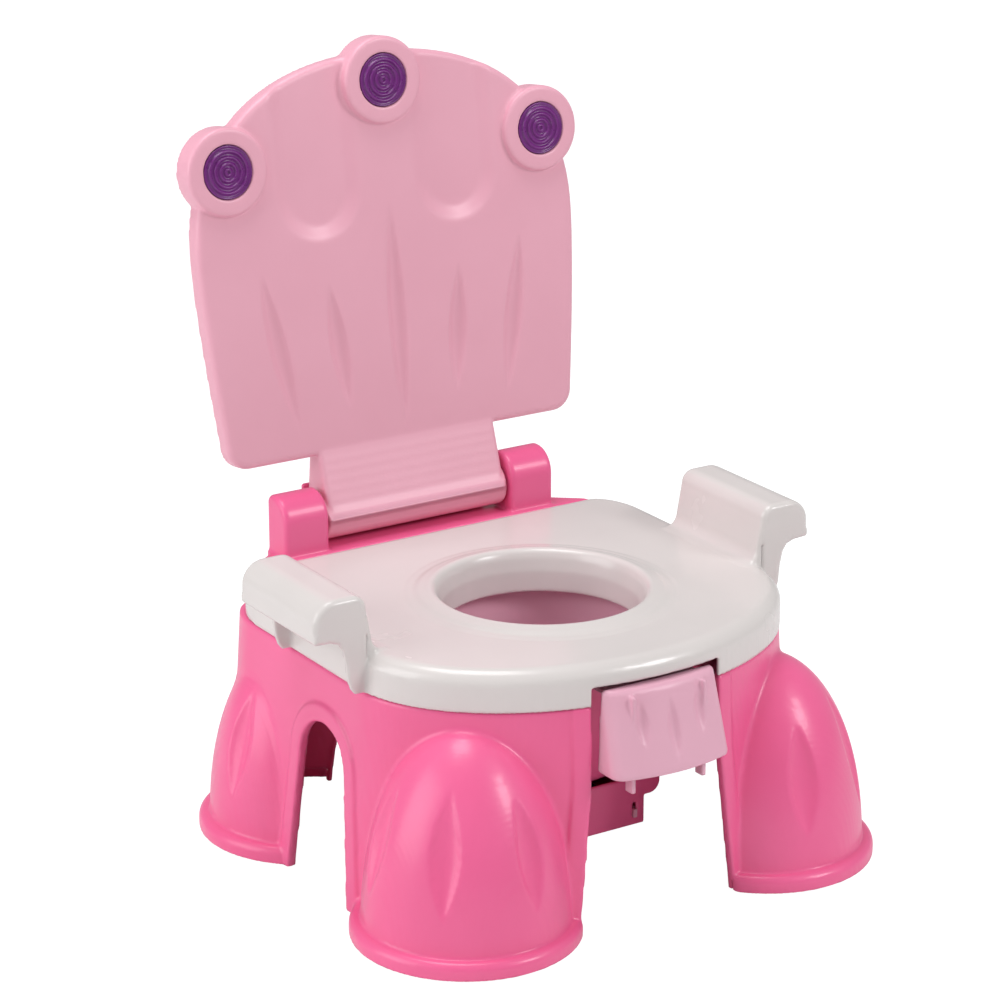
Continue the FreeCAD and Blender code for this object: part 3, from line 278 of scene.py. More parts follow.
# Camera
CAMERA_PLACE = (-1.127168, AXIS_Y_M - 1.708625, 0.932072)
CAMERA_AZIMUTH = -32.678
CAMERA_ELEVATION = 18.868
CAMERA_LENS = 124.15
CAMERA_SENSOR = 36.0


def blend_min(a, b, radius):
    """Union of two fields with a fillet."""
    if radius <= 0:
        return np.minimum(a, b)
    u = np.maximum(radius - a, 0)
    v = np.maximum(radius - b, 0)
    return np.maximum(radius, np.minimum(a, b)) - np.sqrt(u * u + v * v)


def blend_max(a, b, radius):
    """Intersection of two fields with a round edge."""
    return -blend_min(-a, -b, radius)


def carve(body, tool, radius=0.0):
    """Body with the tool cut out of it."""
    return blend_max(body, -tool, radius)


def slab(values, low, high):
    """Field of the space between two parallel planes."""
    return np.maximum(low - values, values - high)


def ellipse(centre, reach, start, stop, steps=24):
    """Points of an ellipse's arc between two angles."""
    turns = np.radians(np.linspace(start, stop, steps))
    return [(centre[0] + reach[0] * math.cos(t), centre[1] + reach[1] * math.sin(t)) for t in turns]


def outline_distance(points, u, v):
    """Signed distance in a plane from a closed outline, negative inside."""
    u, v = np.broadcast_arrays(np.float32(u), np.float32(v))
    best = np.full(u.shape, np.inf, np.float32)
    inside = np.zeros(u.shape, bool)
    for (ax, ay), (bx, by) in zip(points, points[1:] + points[:1]):
        ex, ey = bx - ax, by - ay
        length = ex * ex + ey * ey
        if length < 1e-9:
            continue
        wx, wy = u - ax, v - ay
        share = np.clip((wx * ex + wy * ey) / length, 0, 1)
        best = np.minimum(best, (wx - ex * share) ** 2 + (wy - ey * share) ** 2)
        if ey:
            inside ^= ((ay > v) != (by > v)) & (wx < wy * ex / ey)
    return np.where(inside, -1, 1).astype(np.float32) * np.sqrt(best)


def revolved(points, radius, z):
    """Field of a solid of revolution from its half section, at radii and heights."""
    steps = np.arange(0, float(radius.max()) + 1, 0.5, dtype=np.float32)
    table = outline_distance(points, steps[:, None], z.reshape(1, -1))
    shape = np.broadcast_shapes(radius.shape, z.shape)
    radius = np.broadcast_to(radius, shape)
    field = np.empty(shape, np.float32)
    for level in range(shape[2]):
        field[:, :, level] = np.interp(radius[:, :, level], steps, table[:, level])
    return field


def plan_outline(rear_y, front):
    half = PLAN_HALF
    corner_x, corner_y = PLAN_CORNER
    turn_x, turn_y = half - corner_x, rear_y - corner_y
    return (ellipse((0, PLAN_CENTRE_Y), (half, front), 180, 360, 64)
            + ellipse((turn_x, turn_y), PLAN_CORNER, 0, 90)
            + ellipse((-turn_x, turn_y), PLAN_CORNER, 90, 180))


def arch_outline(centre, foot, waist, waist_z, top_z):
    return ([(centre - foot, -2.0), (centre + foot, -2.0)]
            + ellipse((centre, waist_z), (waist, top_z - waist_z), 0, 180, 40))


def arches(x, y, z):
    """Field of the four openings between the legs."""
    top = BASE_TOP_Z + 2 * WALL
    front = [(-ARCH_FOOT, -2.0), (ARCH_FOOT, -2.0), (ARCH_WAIST, ARCH_WAIST_Z), (NOTCH_HALF, NOTCH_Z),
             (NOTCH_HALF, top), (-NOTCH_HALF, top), (-NOTCH_HALF, NOTCH_Z), (-ARCH_WAIST, ARCH_WAIST_Z)]
    rear = arch_outline(0, REAR_ARCH_FOOT, REAR_ARCH_WAIST, REAR_ARCH_WAIST_Z, REAR_ARCH_TOP_Z)
    side = arch_outline(SIDE_ARCH_Y, SIDE_ARCH_FOOT, SIDE_ARCH_WAIST, SIDE_ARCH_WAIST_Z, SIDE_ARCH_TOP_Z)
    ahead = np.maximum(outline_distance(front, x, z), y - PLAN_CENTRE_Y)
    behind = np.maximum(outline_distance(rear, x, z), -y)
    beside = outline_distance(side, y, z)
    return np.minimum(np.minimum(ahead, behind), beside)


def leaf_depth(along, across, length, width, depth):
    """Depth of a leaf-shaped hollow at places along and across it."""
    swell = np.sin(np.pi * np.clip(along / length, 0, 1))
    half = np.maximum(width / 2 * swell, 0.01)
    return depth * swell * np.clip(1 - (across / half) ** 2, 0, None)


def petal_section():
    points = [(0.0, -20.0), (LEG_RADIUS, -20.0)]
    for share in np.sin(np.radians(np.linspace(0, 90, 40))):
        points.append((LEG_RADIUS * (1 - share ** PETAL_POWER) ** PETAL_FULLNESS, LEG_HEIGHT * share))
    return points


def leg(x, y, z, leg_y, facing):
    """Petal with three dents, on its round flange."""
    dx, dy = x - LEG_X, y - leg_y
    radius = np.sqrt(dx * dx + dy * dy)
    turn = np.degrees(np.arctan2(dy, dx))
    push = 0
    for offset, (low, high) in ((-DENT_SPREAD, SIDE_DENT), (0, MIDDLE_DENT), (DENT_SPREAD, SIDE_DENT)):
        apart = (turn - facing - offset + 180) % 360 - 180
        across = np.radians(apart) * radius
        push = push + leaf_depth(z - low, across, high - low, DENT_WIDTH, DENT_DEPTH)
    petal = revolved(petal_section(), radius + push, z)
    rim = blend_max(radius - FLANGE_RADIUS, z - FLANGE_HEIGHT, FLANGE_ROUND)
    return blend_min(petal, rim, 1.5)


def ledge(x, y, z, leg_y, facing):
    """Sector of a ring inside a leg's foot, which carries its pad."""
    dx, dy = x - LEG_X, y - leg_y
    radius = np.sqrt(dx * dx + dy * dy)
    apart = np.abs((np.degrees(np.arctan2(dy, dx)) - facing + 180) % 360 - 180)
    sides = radius * np.sin(np.radians(np.clip(apart - PAD_HALF_ANGLE, -90, 90)))
    ring = slab(radius, PAD_INNER - WALL, FLANGE_RADIUS - WALL / 2)
    return np.maximum(np.maximum(ring, slab(z, PAD_HEIGHT, PAD_HEIGHT + WALL)), sides)


def base_field(x, y, z):
    outline = plan_outline(PLAN_REAR_Y + BASE_REAR_OVERHANG, PLAN_FRONT - BASE_FRONT_INSET)
    plan = outline_distance(outline, x, y)
    wall = plan - BASE_FLARE * (1 - z / BASE_TOP_Z)
    legs = np.minimum(*[leg(x, y, z, leg_y, facing) for leg_y, facing in LEGS])
    openings = arches(x, y, z)
    outer = blend_min(wall, legs, 3.0)
    void = np.maximum(outer + WALL, z - BASE_TOP_Z + WALL)
    lining = np.maximum(np.maximum(wall, -wall - LINING_DEPTH), openings - WALL)
    border = blend_max(wall - BORDER_HEIGHT, openings - BORDER_WIDTH, 1.0)
    outer = blend_min(outer, border, 0.8)
    outer = blend_max(outer, z - BASE_TOP_Z, 1.0)
    shell = carve(outer, carve(void, lining))
    for leg_y, facing in LEGS:
        shell = np.minimum(shell, ledge(x, y, z, leg_y, facing))
    shell = carve(shell, openings, 1.0)
    shell = carve(shell, np.sqrt(x * x + y * y) - DECK_HOLE_RADIUS)
    return np.maximum(shell, BASE_FOOT_GAP - z)


def handle_curve(inset):
    """Upper outline of the right-hand handle, from its inner wall over to its lip."""
    inner_x = HANDLE_WALL_X + HANDLE_LEAN + inset
    outer_x = HANDLE_OUTER_X - inset
    top = HANDLE_TOP_Z - inset
    inner_r = HANDLE_INNER_ROUND - inset
    outer_r = HANDLE_OUTER_ROUND - inset
    return (ellipse((inner_x + inner_r, top - inner_r), (inner_r, inner_r), 180, 90)
            + ellipse((outer_x - outer_r, top - outer_r), (outer_r, outer_r), 90, 0))


def handle_field(x, y, z):
    """Hooked channel with closed ends that run down the seat's side."""
    side = PLAN_HALF - WALL / 2
    foot_x = HANDLE_WALL_X - HANDLE_FOOT_ROUND
    foot_round = (HANDLE_FOOT_ROUND, HANDLE_FOOT_ROUND)
    skin = (ellipse((foot_x, SEAT_TOP_Z + HANDLE_FOOT_ROUND), foot_round, 270, 360)
            + handle_curve(0) + [(HANDLE_OUTER_X, HANDLE_LIP_Z), (side, HANDLE_LIP_Z),
                                 (side, SEAT_TOP_Z - WALL), (foot_x, SEAT_TOP_Z - WALL)])
    web = [(HANDLE_OUTER_X, HANDLE_LIP_Z), (HANDLE_OUTER_X, HANDLE_LIP_Z + 2 * WALL),
           (side, HANDLE_LIP_Z + 2 * WALL), (side, HANDLE_WEB_FOOT[1]), HANDLE_WEB_FOOT, *HANDLE_WEB_CURVE]
    room = ([(PLAN_HALF, HANDLE_LIP_Z - HANDLE_FOOT_ROUND)] + handle_curve(WALL)
            + [(HANDLE_OUTER_X - WALL, BASE_TOP_Z - WALL), (PLAN_HALF, BASE_TOP_Z - WALL)])
    across = slab(y, *HANDLE_Y)
    body = blend_max(outline_distance(skin, x, z), across, 3.5)
    ends = blend_max(outline_distance(web, x, z), across, 1.5)
    inside = np.maximum(outline_distance(room, x, z), across + WALL)
    return carve(np.minimum(body, ends), inside, 0.5)


def collar_section():
    middle = (COLLAR_OUTER + CREST_RADIUS) / 2
    return [(COLLAR_OUTER + 4, SEAT_TOP_Z - 0.2), (COLLAR_OUTER, SEAT_TOP_Z + 0.3),
            (middle + 2.5, SEAT_TOP_Z + 2.2), (middle - 1.5, CREST_Z - 0.9),
            (CREST_RADIUS + 2.2, CREST_Z - 0.1), (CREST_RADIUS, CREST_Z - 0.3),
            (CREST_RADIUS - 2, CREST_Z - 2), (CREST_RADIUS - 3.6, CREST_Z - 5.5),
            (COLLAR_FOOT_RADIUS + 1.5, (CREST_Z + COLLAR_FOOT_Z) / 2), (COLLAR_FOOT_RADIUS, COLLAR_FOOT_Z),
            (COLLAR_FOOT_RADIUS + WALL, COLLAR_FOOT_Z), (middle - WALL / 2, SEAT_TOP_Z - WALL),
            (COLLAR_OUTER + 4, SEAT_TOP_Z - WALL)]


def seat_field(x, y, z):
    plan = outline_distance(plan_outline(PLAN_REAR_Y, PLAN_FRONT), x, y)
    outer = blend_max(plan, z - SEAT_TOP_Z, SEAT_ROUND)
    shell = carve(outer, outer + WALL)
    radius = np.sqrt(x * x + y * y)
    shell = carve(shell, radius - (COLLAR_OUTER + CREST_RADIUS) / 2)
    shell = blend_min(shell, revolved(collar_section(), radius, z), 1.5)
    shell = blend_min(shell, handle_field(x, y, z), 2.0)
    notch = np.maximum(np.maximum(np.abs(x) - SEAT_NOTCH_HALF, z - SEAT_NOTCH_TOP_Z), y - SEAT_NOTCH_Y)
    shell = carve(shell, notch, 1.0)
    return blend_max(shell, SKIRT_Z - z, 0.6)


def spline(points, steps=12):
    """Natural cubic spline through points, by the length of their chords."""
    knots = np.array(points, float)
    gaps = np.linalg.norm(np.diff(knots, axis=0), axis=1)
    count = len(knots)
    system = np.eye(count)
    right = np.zeros_like(knots)
    for i in range(1, count - 1):
        system[i, i - 1:i + 2] = gaps[i - 1], 2 * (gaps[i - 1] + gaps[i]), gaps[i]
        right[i] = 6 * ((knots[i + 1] - knots[i]) / gaps[i] - (knots[i] - knots[i - 1]) / gaps[i - 1])
    bend = np.linalg.solve(system, right)
    curve = []
    for i, gap in enumerate(gaps):
        for share in np.arange(steps) / steps:
            a, b = (1 - share), share
            curve.append(tuple(a * knots[i] + b * knots[i + 1]
                               + ((a ** 3 - a) * bend[i] + (b ** 3 - b) * bend[i + 1]) * gap * gap / 6))
    return curve + [tuple(knots[-1])]


def lid_outline():
    side = [(LID_HALF_FOOT, LID_CORNER)] + list(LID_SIDE)
    over = side + [(0.0, LID_HEIGHT)] + [(-u, v) for u, v in reversed(side)]
    return (ellipse((LID_HALF_FOOT - LID_CORNER, LID_CORNER), (LID_CORNER, LID_CORNER), 270, 360)[:-1]
            + spline(over)
            + ellipse((LID_CORNER - LID_HALF_FOOT, LID_CORNER), (LID_CORNER, LID_CORNER), 180, 270)[1:])


def lid_relief(x, z):
    """Depth of the crown's valleys and of the five leaf grooves in the lid's face."""
    foot = VALLEY_FOOT_Z + VALLEY_HALF
    across = np.abs(x) - VALLEY_X
    below = np.minimum(z - foot, 0)
    inside = VALLEY_HALF - np.sqrt(across * across + below * below)
    share = np.clip(inside / VALLEY_BEVEL, 0, 1)
    depth = VALLEY_DEPTH * share * share * (3 - 2 * share)
    for x0, z0, x1, z1 in LID_GROOVES:
        length = math.hypot(x1 - x0, z1 - z0)
        ux, uz = (x1 - x0) / length, (z1 - z0) / length
        along = (np.abs(x) - x0) * ux + (z - z0) * uz
        offset = (np.abs(x) - x0) * uz - (z - z0) * ux
        depth = depth + leaf_depth(along, offset, length, LID_GROOVE_WIDTH, LID_GROOVE_DEPTH)
    return depth


def arm_outline(inset):
    """Side view of the lid's arm, whose lower end is the barrel's round."""
    radius = BARREL_RADIUS - inset
    return ([(LID_AXIS_INSET + radius, -LID_DROP + BARREL_RADIUS), (LID_THICKNESS - inset, LID_SKIN),
             (LID_THICKNESS - inset, ARM_TOP_Z), (inset, ARM_TOP_Z), (inset, LID_SKIN)]
            + ellipse((LID_AXIS_INSET, -LID_DROP), (radius, radius), ARM_TANGENT, 360))


def lid_field(x, y, z):
    outline = outline_distance(lid_outline(), x, z)
    relief = lid_relief(x, z)
    plate = np.maximum(blend_max(outline, relief - y, LID_EDGE_ROUND), y - LID_THICKNESS)
    rooms = np.maximum(outline + WALL, LID_SKIN + relief - y)
    cups = 1e3
    bosses = 1e3
    for boss_x, boss_z in BOSSES[1:]:
        radius = np.sqrt((x - boss_x) ** 2 + (z - boss_z) ** 2)
        boss = np.maximum(blend_max(radius - BOSS_RADIUS, -BOSS_HEIGHT - y, BOSS_ROUND), y - LID_THICKNESS)
        bosses = np.minimum(bosses, boss)
        rooms = np.minimum(rooms, np.maximum(radius - BOSS_RADIUS + WALL, LID_SKIN - BOSS_HEIGHT - y))
        cups = np.minimum(cups, np.maximum(radius - JEWEL_RADIUS - JEWEL_CLEARANCE, y + BOSS_HEIGHT - 3.4))
    barrel = np.sqrt((y - LID_AXIS_INSET) ** 2 + (z + LID_DROP) ** 2)
    arm = outline_distance(arm_outline(0), y, z)
    arm = blend_max(arm, np.abs(x) - ARM_HALF, 2.5)
    ends = np.maximum(barrel - BARREL_RADIUS, np.abs(x) - BARREL_HALF)
    solid = np.minimum(np.minimum(blend_min(plate, bosses, 1.5), arm), ends)
    arm_room = np.maximum(outline_distance(arm_outline(WALL), y, z), np.abs(x) - ARM_HALF + WALL)
    window = np.maximum(np.maximum(slab(z, BARREL_RADIUS - LID_DROP, LID_SKIN + WALL),
                                   np.abs(x) - ARM_HALF + WALL), LID_THICKNESS - PANEL_THICKNESS - y)
    rooms = np.minimum(np.minimum(rooms, arm_room), window)
    bore = np.maximum(barrel - PIN_BORE_RADIUS, PIN_BORE_X - np.abs(x))
    rooms = np.minimum(rooms, bore)
    return carve(carve(solid, rooms), cups, 0.8)


def panel_field(x, y, z):
    margin = WALL + PANEL_CLEARANCE
    face = outline_distance(lid_outline(), x, z) + margin
    for boss_x, boss_z in BOSSES[1:]:
        face = np.minimum(face, np.sqrt((x - boss_x) ** 2 + (z - boss_z) ** 2) - BOSS_RADIUS + margin)
    plate = blend_max(face, slab(y, LID_THICKNESS - PANEL_THICKNESS, LID_THICKNESS), 0.6)
    step = np.clip(np.round((z - TREAD_FIRST_Z) / TREAD_PITCH), 0, TREADS - 1)
    near = z - TREAD_FIRST_Z - step * TREAD_PITCH
    reach = np.maximum(np.abs(x) - TREAD_HALF, 0)
    bar = np.sqrt(reach ** 2 + near ** 2) - TREAD_RADIUS
    ridge = blend_max(bar, y - LID_THICKNESS - TREAD_HEIGHT, 0.9)
    return blend_min(plate, np.maximum(ridge, LID_THICKNESS - 1 - y), 0.5)


def tower_outline():
    top, (front, rear), (ahead, behind) = TOWER_TOP_Z, TOWER_Y, TOWER_ROUNDS
    return ([(rear, DECK_TOP_Z - WALL), (front, DECK_TOP_Z - WALL)]
            + ellipse((front + ahead, top - ahead), (ahead, ahead), 180, 90)
            + ellipse((rear - behind, top - behind), (behind, behind), 90, 0))


def hinge_deck_field(x, y, z):
    front = PLAN_REAR_Y + DECK_FRONT_GAP
    foot_z = BASE_TOP_Z + DECK_CLEARANCE
    rear_wall = PLAN_REAR_Y + BASE_REAR_OVERHANG + DECK_CLEARANCE
    slope = DECK_REAR_Y - rear_wall
    flared_wall = rear_wall + BASE_FLARE * (1 - DECK_SLOPE_Z / BASE_TOP_Z)
    section = [(flared_wall, DECK_SLOPE_Z), (DECK_REAR_Y, DECK_SLOPE_Z + slope), (DECK_REAR_Y, DECK_TOP_Z),
               (front, DECK_TOP_Z), (front, foot_z), (rear_wall, foot_z)]
    corners = blend_max(np.abs(x) - DECK_HALF, y - DECK_REAR_Y, DECK_CORNER) + 0 * z
    body = blend_max(outline_distance(section, y, z), corners, 2.0)
    wing = [(-WING_HALF, front), (WING_HALF, front), (DECK_HALF, WING_Y), (-DECK_HALF, WING_Y)]
    wings = blend_max(outline_distance(wing, x, y), slab(z, foot_z, DECK_TOP_Z), 2.0)
    tower = blend_max(outline_distance(tower_outline(), y, z), slab(np.abs(x), *TOWER_X), 3.0)
    stop = blend_max(np.maximum(slab(y, STOP_WALL_Y, DECK_REAR_Y), np.abs(x) - TOWER_X[0]),
                     np.maximum(z - STOP_WALL_Z, DECK_TOP_Z - WALL - z), 1.2)
    outer = blend_min(blend_min(np.minimum(body, wings), tower, 2.0), stop, 1.0)
    room = [(flared_wall, DECK_SLOPE_Z + 2 * WALL), (DECK_REAR_Y - WALL, DECK_SLOPE_Z + slope + WALL),
            (DECK_REAR_Y - WALL, DECK_TOP_Z - WALL), (front + WALL, DECK_TOP_Z - WALL),
            (front + WALL, BASE_TOP_Z), (rear_wall, BASE_TOP_Z)]
    hollow = np.maximum(outline_distance(room, y, z), corners + WALL)
    barrel = np.sqrt((y - HINGE_Y) ** 2 + (z - HINGE_Z) ** 2)
    gutter = np.maximum(barrel - BARREL_RADIUS - 1, np.abs(x) - TOWER_X[0])
    return carve(carve(outer, hollow), gutter, 0.5)


def bowl_section():
    mouth, floor = WELL_RADIUS - 1, WELL_FLOOR_RADIUS - 1
    lean = math.degrees(math.atan2(mouth - floor, BOWL_RIM_Z[0] - BOWL_FLOOR_Z))
    middle = (floor - BOWL_ROUND_INSET, BOWL_FLOOR_Z + BOWL_ROUND)
    outer = ellipse(middle, (BOWL_ROUND, BOWL_ROUND), 270, 360 - lean)
    inner = ellipse(middle, (BOWL_ROUND - BOWL_WALL,) * 2, 360 - lean, 270)
    rim = (BOWL_RIM_Z[1] - BOWL_RIM_Z[0]) / 2
    rim_round = ellipse((BOWL_RIM_RADIUS - rim, sum(BOWL_RIM_Z) / 2), (rim, rim), -90, 90, 8)
    return ([(0.0, BOWL_FLOOR_Z)] + outer + [(mouth, BOWL_RIM_Z[0])] + rim_round
            + [(mouth - BOWL_WALL, BOWL_RIM_Z[1])] + inner + [(0.0, BOWL_FLOOR_Z + BOWL_WALL)])


def tab_field(x, y, z):
    """Bowed, leaning front tab of the bowl: hollow behind, with three finger grooves."""
    back = y - TAB_BACK_Y
    y = y + TAB_LEAN * (TAB_TOP_Z - z) / (TAB_TOP_Z - TAB_FOOT_Z)
    half = (TAB_HALF_TOP + TAB_HALF_FOOT) / 2
    rise = TAB_SIDE_Y - TAB_FRONT_Y
    bow_radius = (half * half + rise * rise) / (2 * rise)
    push = 0
    for groove_x, length in TAB_GROOVES:
        down = TAB_GROOVE_TOP_Z + TAB_GROOVE_RUN_OUT - z
        reach = length + 2 * TAB_GROOVE_RUN_OUT
        push = push + leaf_depth(down, x - groove_x, reach, TAB_GROOVE_WIDTH, TAB_GROOVE_DEPTH)
    bow = np.sqrt(x * x + (y - TAB_FRONT_Y - bow_radius) ** 2) - bow_radius
    width = TAB_HALF_TOP + (TAB_HALF_FOOT - TAB_HALF_TOP) * (TAB_TOP_Z - z) / (TAB_TOP_Z - TAB_FOOT_Z)
    face = blend_max(blend_max(bow, np.abs(x) - width, 6.0), z - TAB_TOP_Z, 3.0)
    face = face + push
    inside = face + WALL
    outer = blend_max(face, TAB_FOOT_Z - z, 2.5)
    outer = np.maximum(outer, back)
    return carve(outer, inside)


def bowl_field(x, y, z):
    radius = np.sqrt(x * x + y * y)
    pan = revolved(bowl_section(), radius, z)
    mouth = WELL_RADIUS - 1
    neck = np.maximum(slab(y, TAB_BACK_Y - WALL, 2 - mouth), slab(z, *BOWL_RIM_Z))
    neck = np.maximum(neck, np.abs(x) - NECK_HALF)
    plate = np.maximum(slab(y, TAB_BACK_Y - WALL, TAB_BACK_Y), slab(z, BOWL_RIM_Z[0], TAB_TOP_Z - WALL))
    plate = np.maximum(plate, np.abs(x) - NECK_HALF)
    guide = np.maximum(np.maximum(slab(np.abs(x), GUIDE_X - WALL / 2, GUIDE_X + WALL / 2),
                                  slab(y, *GUIDE_Y)), slab(z, GUIDE_FOOT_Z, TAB_TOP_Z - WALL))
    arm = blend_min(np.minimum(neck, plate), tab_field(x, y, z), 1.0)
    arm = np.minimum(arm, blend_max(guide, GUIDE_FOOT_Z - z, 1.0))
    arm = np.maximum(arm, mouth - radius)
    return blend_min(pan, arm, 1.0)


def screw_distance(x, y):
    """Distance from the nearest right-hand screw of the sound unit."""
    return np.sqrt((x - UNIT_SCREW[0]) ** 2 + (np.abs(y) - UNIT_SCREW[1]) ** 2)


def well_field(x, y, z):
    lean = math.degrees(math.atan2(WELL_RADIUS - WELL_FLOOR_RADIUS, BASE_TOP_Z - WELL_FLOOR_Z))
    middle = (WELL_FLOOR_RADIUS - WELL_ROUND_INSET, WELL_FLOOR_Z + WALL + WELL_ROUND)
    outer = ellipse(middle, (WELL_ROUND + WALL,) * 2, 270, 360 - lean)
    inner = ellipse(middle, (WELL_ROUND, WELL_ROUND), 360 - lean, 270)
    flange = [(WELL_RADIUS + WALL, BASE_TOP_Z), (WELL_FLANGE_RADIUS, BASE_TOP_Z + 0.1),
              (WELL_FLANGE_RADIUS, BASE_TOP_Z + WALL - 0.1), (WELL_RADIUS, BASE_TOP_Z + WALL)]
    section = [(0.0, WELL_FLOOR_Z)] + outer + flange + inner + [(0.0, WELL_FLOOR_Z + WALL)]
    tub = revolved(section, np.sqrt(x * x + y * y), z)
    column = np.maximum(screw_distance(x, y) - COLUMN_RADIUS, slab(z, COLUMN_JOINT_Z, WELL_FLOOR_Z + WALL))
    return blend_min(tub, column, 0.8)


def unit_outline():
    right = [(UNIT_LOWER, UNIT_FOOT_Z), (UNIT_LOWER, UNIT_STEP_Z)]
    corner = (UNIT_UPPER - UNIT_CORNER, UNIT_STEP_Z + UNIT_CORNER)
    right += ellipse(corner, (UNIT_CORNER, UNIT_CORNER), 270, 360)
    right += [(UNIT_UPPER, WELL_FLOOR_Z)]
    return right + [(-u, v) for u, v in reversed(right)]


def unit_field(x, y, z):
    section = outline_distance(unit_outline(), x, z)
    body = blend_max(section, np.abs(y) - UNIT_DEPTH, 1.5)
    room = np.maximum(np.maximum(section, z - WELL_FLOOR_Z - 5), np.abs(y) - UNIT_DEPTH) + UNIT_WALL
    open_top = np.maximum(outline_distance(unit_outline(), x, np.minimum(z, WELL_FLOOR_Z - UNIT_WALL)),
                          np.abs(y) - UNIT_DEPTH) + UNIT_WALL
    shell = carve(body, np.minimum(room, open_top))
    column = screw_distance(x, y)
    shell = np.minimum(shell, np.maximum(column - COLUMN_RADIUS, slab(z, UNIT_FOOT_Z, COLUMN_JOINT_Z)))
    shell = carve(shell, np.maximum(column - COLUMN_BORE, z - UNIT_STEP_Z), 0.3)
    slot = np.maximum(np.abs(x - SWITCH_X) - SLOT_HALF, slab(z, *SLOT_Z))
    slot = np.maximum(slot, y + UNIT_DEPTH - UNIT_WALL - 1)
    door = np.maximum(np.maximum(np.abs(x) - DOOR_HALF, slab(y, *DOOR_Y)), z - UNIT_FOOT_Z - UNIT_WALL)
    shell = carve(carve(shell, slot), door)
    for step in range(GRILLE_HOLES):
        angle = 2 * math.pi * step / GRILLE_HOLES
        hole = np.sqrt((x - GRILLE_RING * math.cos(angle)) ** 2
                       + (y - SPEAKER_Y - GRILLE_RING * math.sin(angle)) ** 2) - GRILLE_HOLE_RADIUS
        shell = carve(shell, np.maximum(hole, z - UNIT_FOOT_Z - UNIT_WALL - 1), 0.3)
    return shell


def sampled(field, places):
    """Values of a grid field between its points."""
    limit = np.array(field.shape) - 1.001
    places = np.clip(places, 0, limit)
    cell = places.astype(int)
    part = places - cell
    total = 0
    for corner in range(8):
        step = np.array([corner >> 2 & 1, corner >> 1 & 1, corner & 1])
        weight = np.abs(1 - step - part).prod(1)
        i, j, k = (cell + step).T
        total = total + weight * field[i, j, k]
    return total


def gradient(field, places):
    slopes = []
    for axis in range(3):
        step = np.zeros(3)
        step[axis] = 1
        slopes.append(sampled(field, places + step) - sampled(field, places - step))
    slopes = np.stack(slopes, 1)
    return slopes / np.maximum(np.linalg.norm(slopes, axis=1, keepdims=True), 1e-9)


def relaxed(points, quads, rounds):
    """Points evened out over the mesh without shrinking it."""
    ends = np.concatenate([quads[:, [i, (i + 1) % 4]] for i in range(4)])
    ends = np.concatenate([ends, ends[:, ::-1]])
    count = np.maximum(np.bincount(ends[:, 0], minlength=len(points)), 1)[:, None]
    for _ in range(rounds):
        for pull in RELAX_PULLS:
            sums = [np.bincount(ends[:, 0], points[ends[:, 1], axis], len(points)) for axis in range(3)]
            points = points + pull * (np.stack(sums, 1) / count - points)
    return points


def moulding(name, low, high, voxel, shape, mirrored=False, place=Matrix.Identity(4)):
    """Mesh object of a field, between two corners; a mirrored one is computed for x >= 0 only."""
    pad = GRID_PAD * voxel
    axes = [np.arange(lo - pad, hi + pad + voxel, voxel, dtype=np.float32) for lo, hi in zip(low, high)]
    if mirrored:
        axes[0] = np.arange(0, high[0] + pad + voxel, voxel, dtype=np.float32)
    field = shape(axes[0][:, None, None], axes[1][None, :, None], axes[2][None, None, :])
    field = np.broadcast_to(field, [len(axis) for axis in axes])
    start = np.array([axis[0] for axis in axes], float)
    if mirrored:
        field = np.concatenate([field[:0:-1], field])
        start[0] = -float(axes[0][-1])
    field = np.clip(field / voxel, -BAND, BAND).astype(np.float32)
    grid = openvdb.FloatGrid(BAND)
    grid.copyFromArray(field)
    points, quads = grid.convertToQuads(isovalue=0.0)
    points = relaxed(points.astype(float), quads, 2)
    for _ in range(2):
        normals = gradient(field, points)
        points = points - normals * (sampled(field, points) * SNAP_SHARE)[:, None]
    normals = gradient(field, points)
    mesh = bpy.data.meshes.new(name)
    places = points * voxel + start
    corners = places[quads]
    facing = np.cross(corners[:, 2] - corners[:, 0], corners[:, 3] - corners[:, 1])
    if (facing * normals[quads[:, 0]]).sum() < 0:
        quads = quads[:, ::-1]
    mesh.from_pydata(places, [], quads)
    mesh.shade_smooth()
    mesh.normals_split_custom_set_from_vertices(normals)
    mesh.transform(TO_ROW @ place)
    made = bpy.data.objects.new(name, mesh)
    bpy.context.scene.collection.objects.link(made)
    return made


def linear(red, green, blue):
    """Linear colour from the usual 0 to 255 values."""
    shades = [value / 255 for value in (red, green, blue)]
    return [s / 12.92 if s <= 0.04045 else ((s + 0.055) / 1.055) ** 2.4 for s in shades] + [1.0]


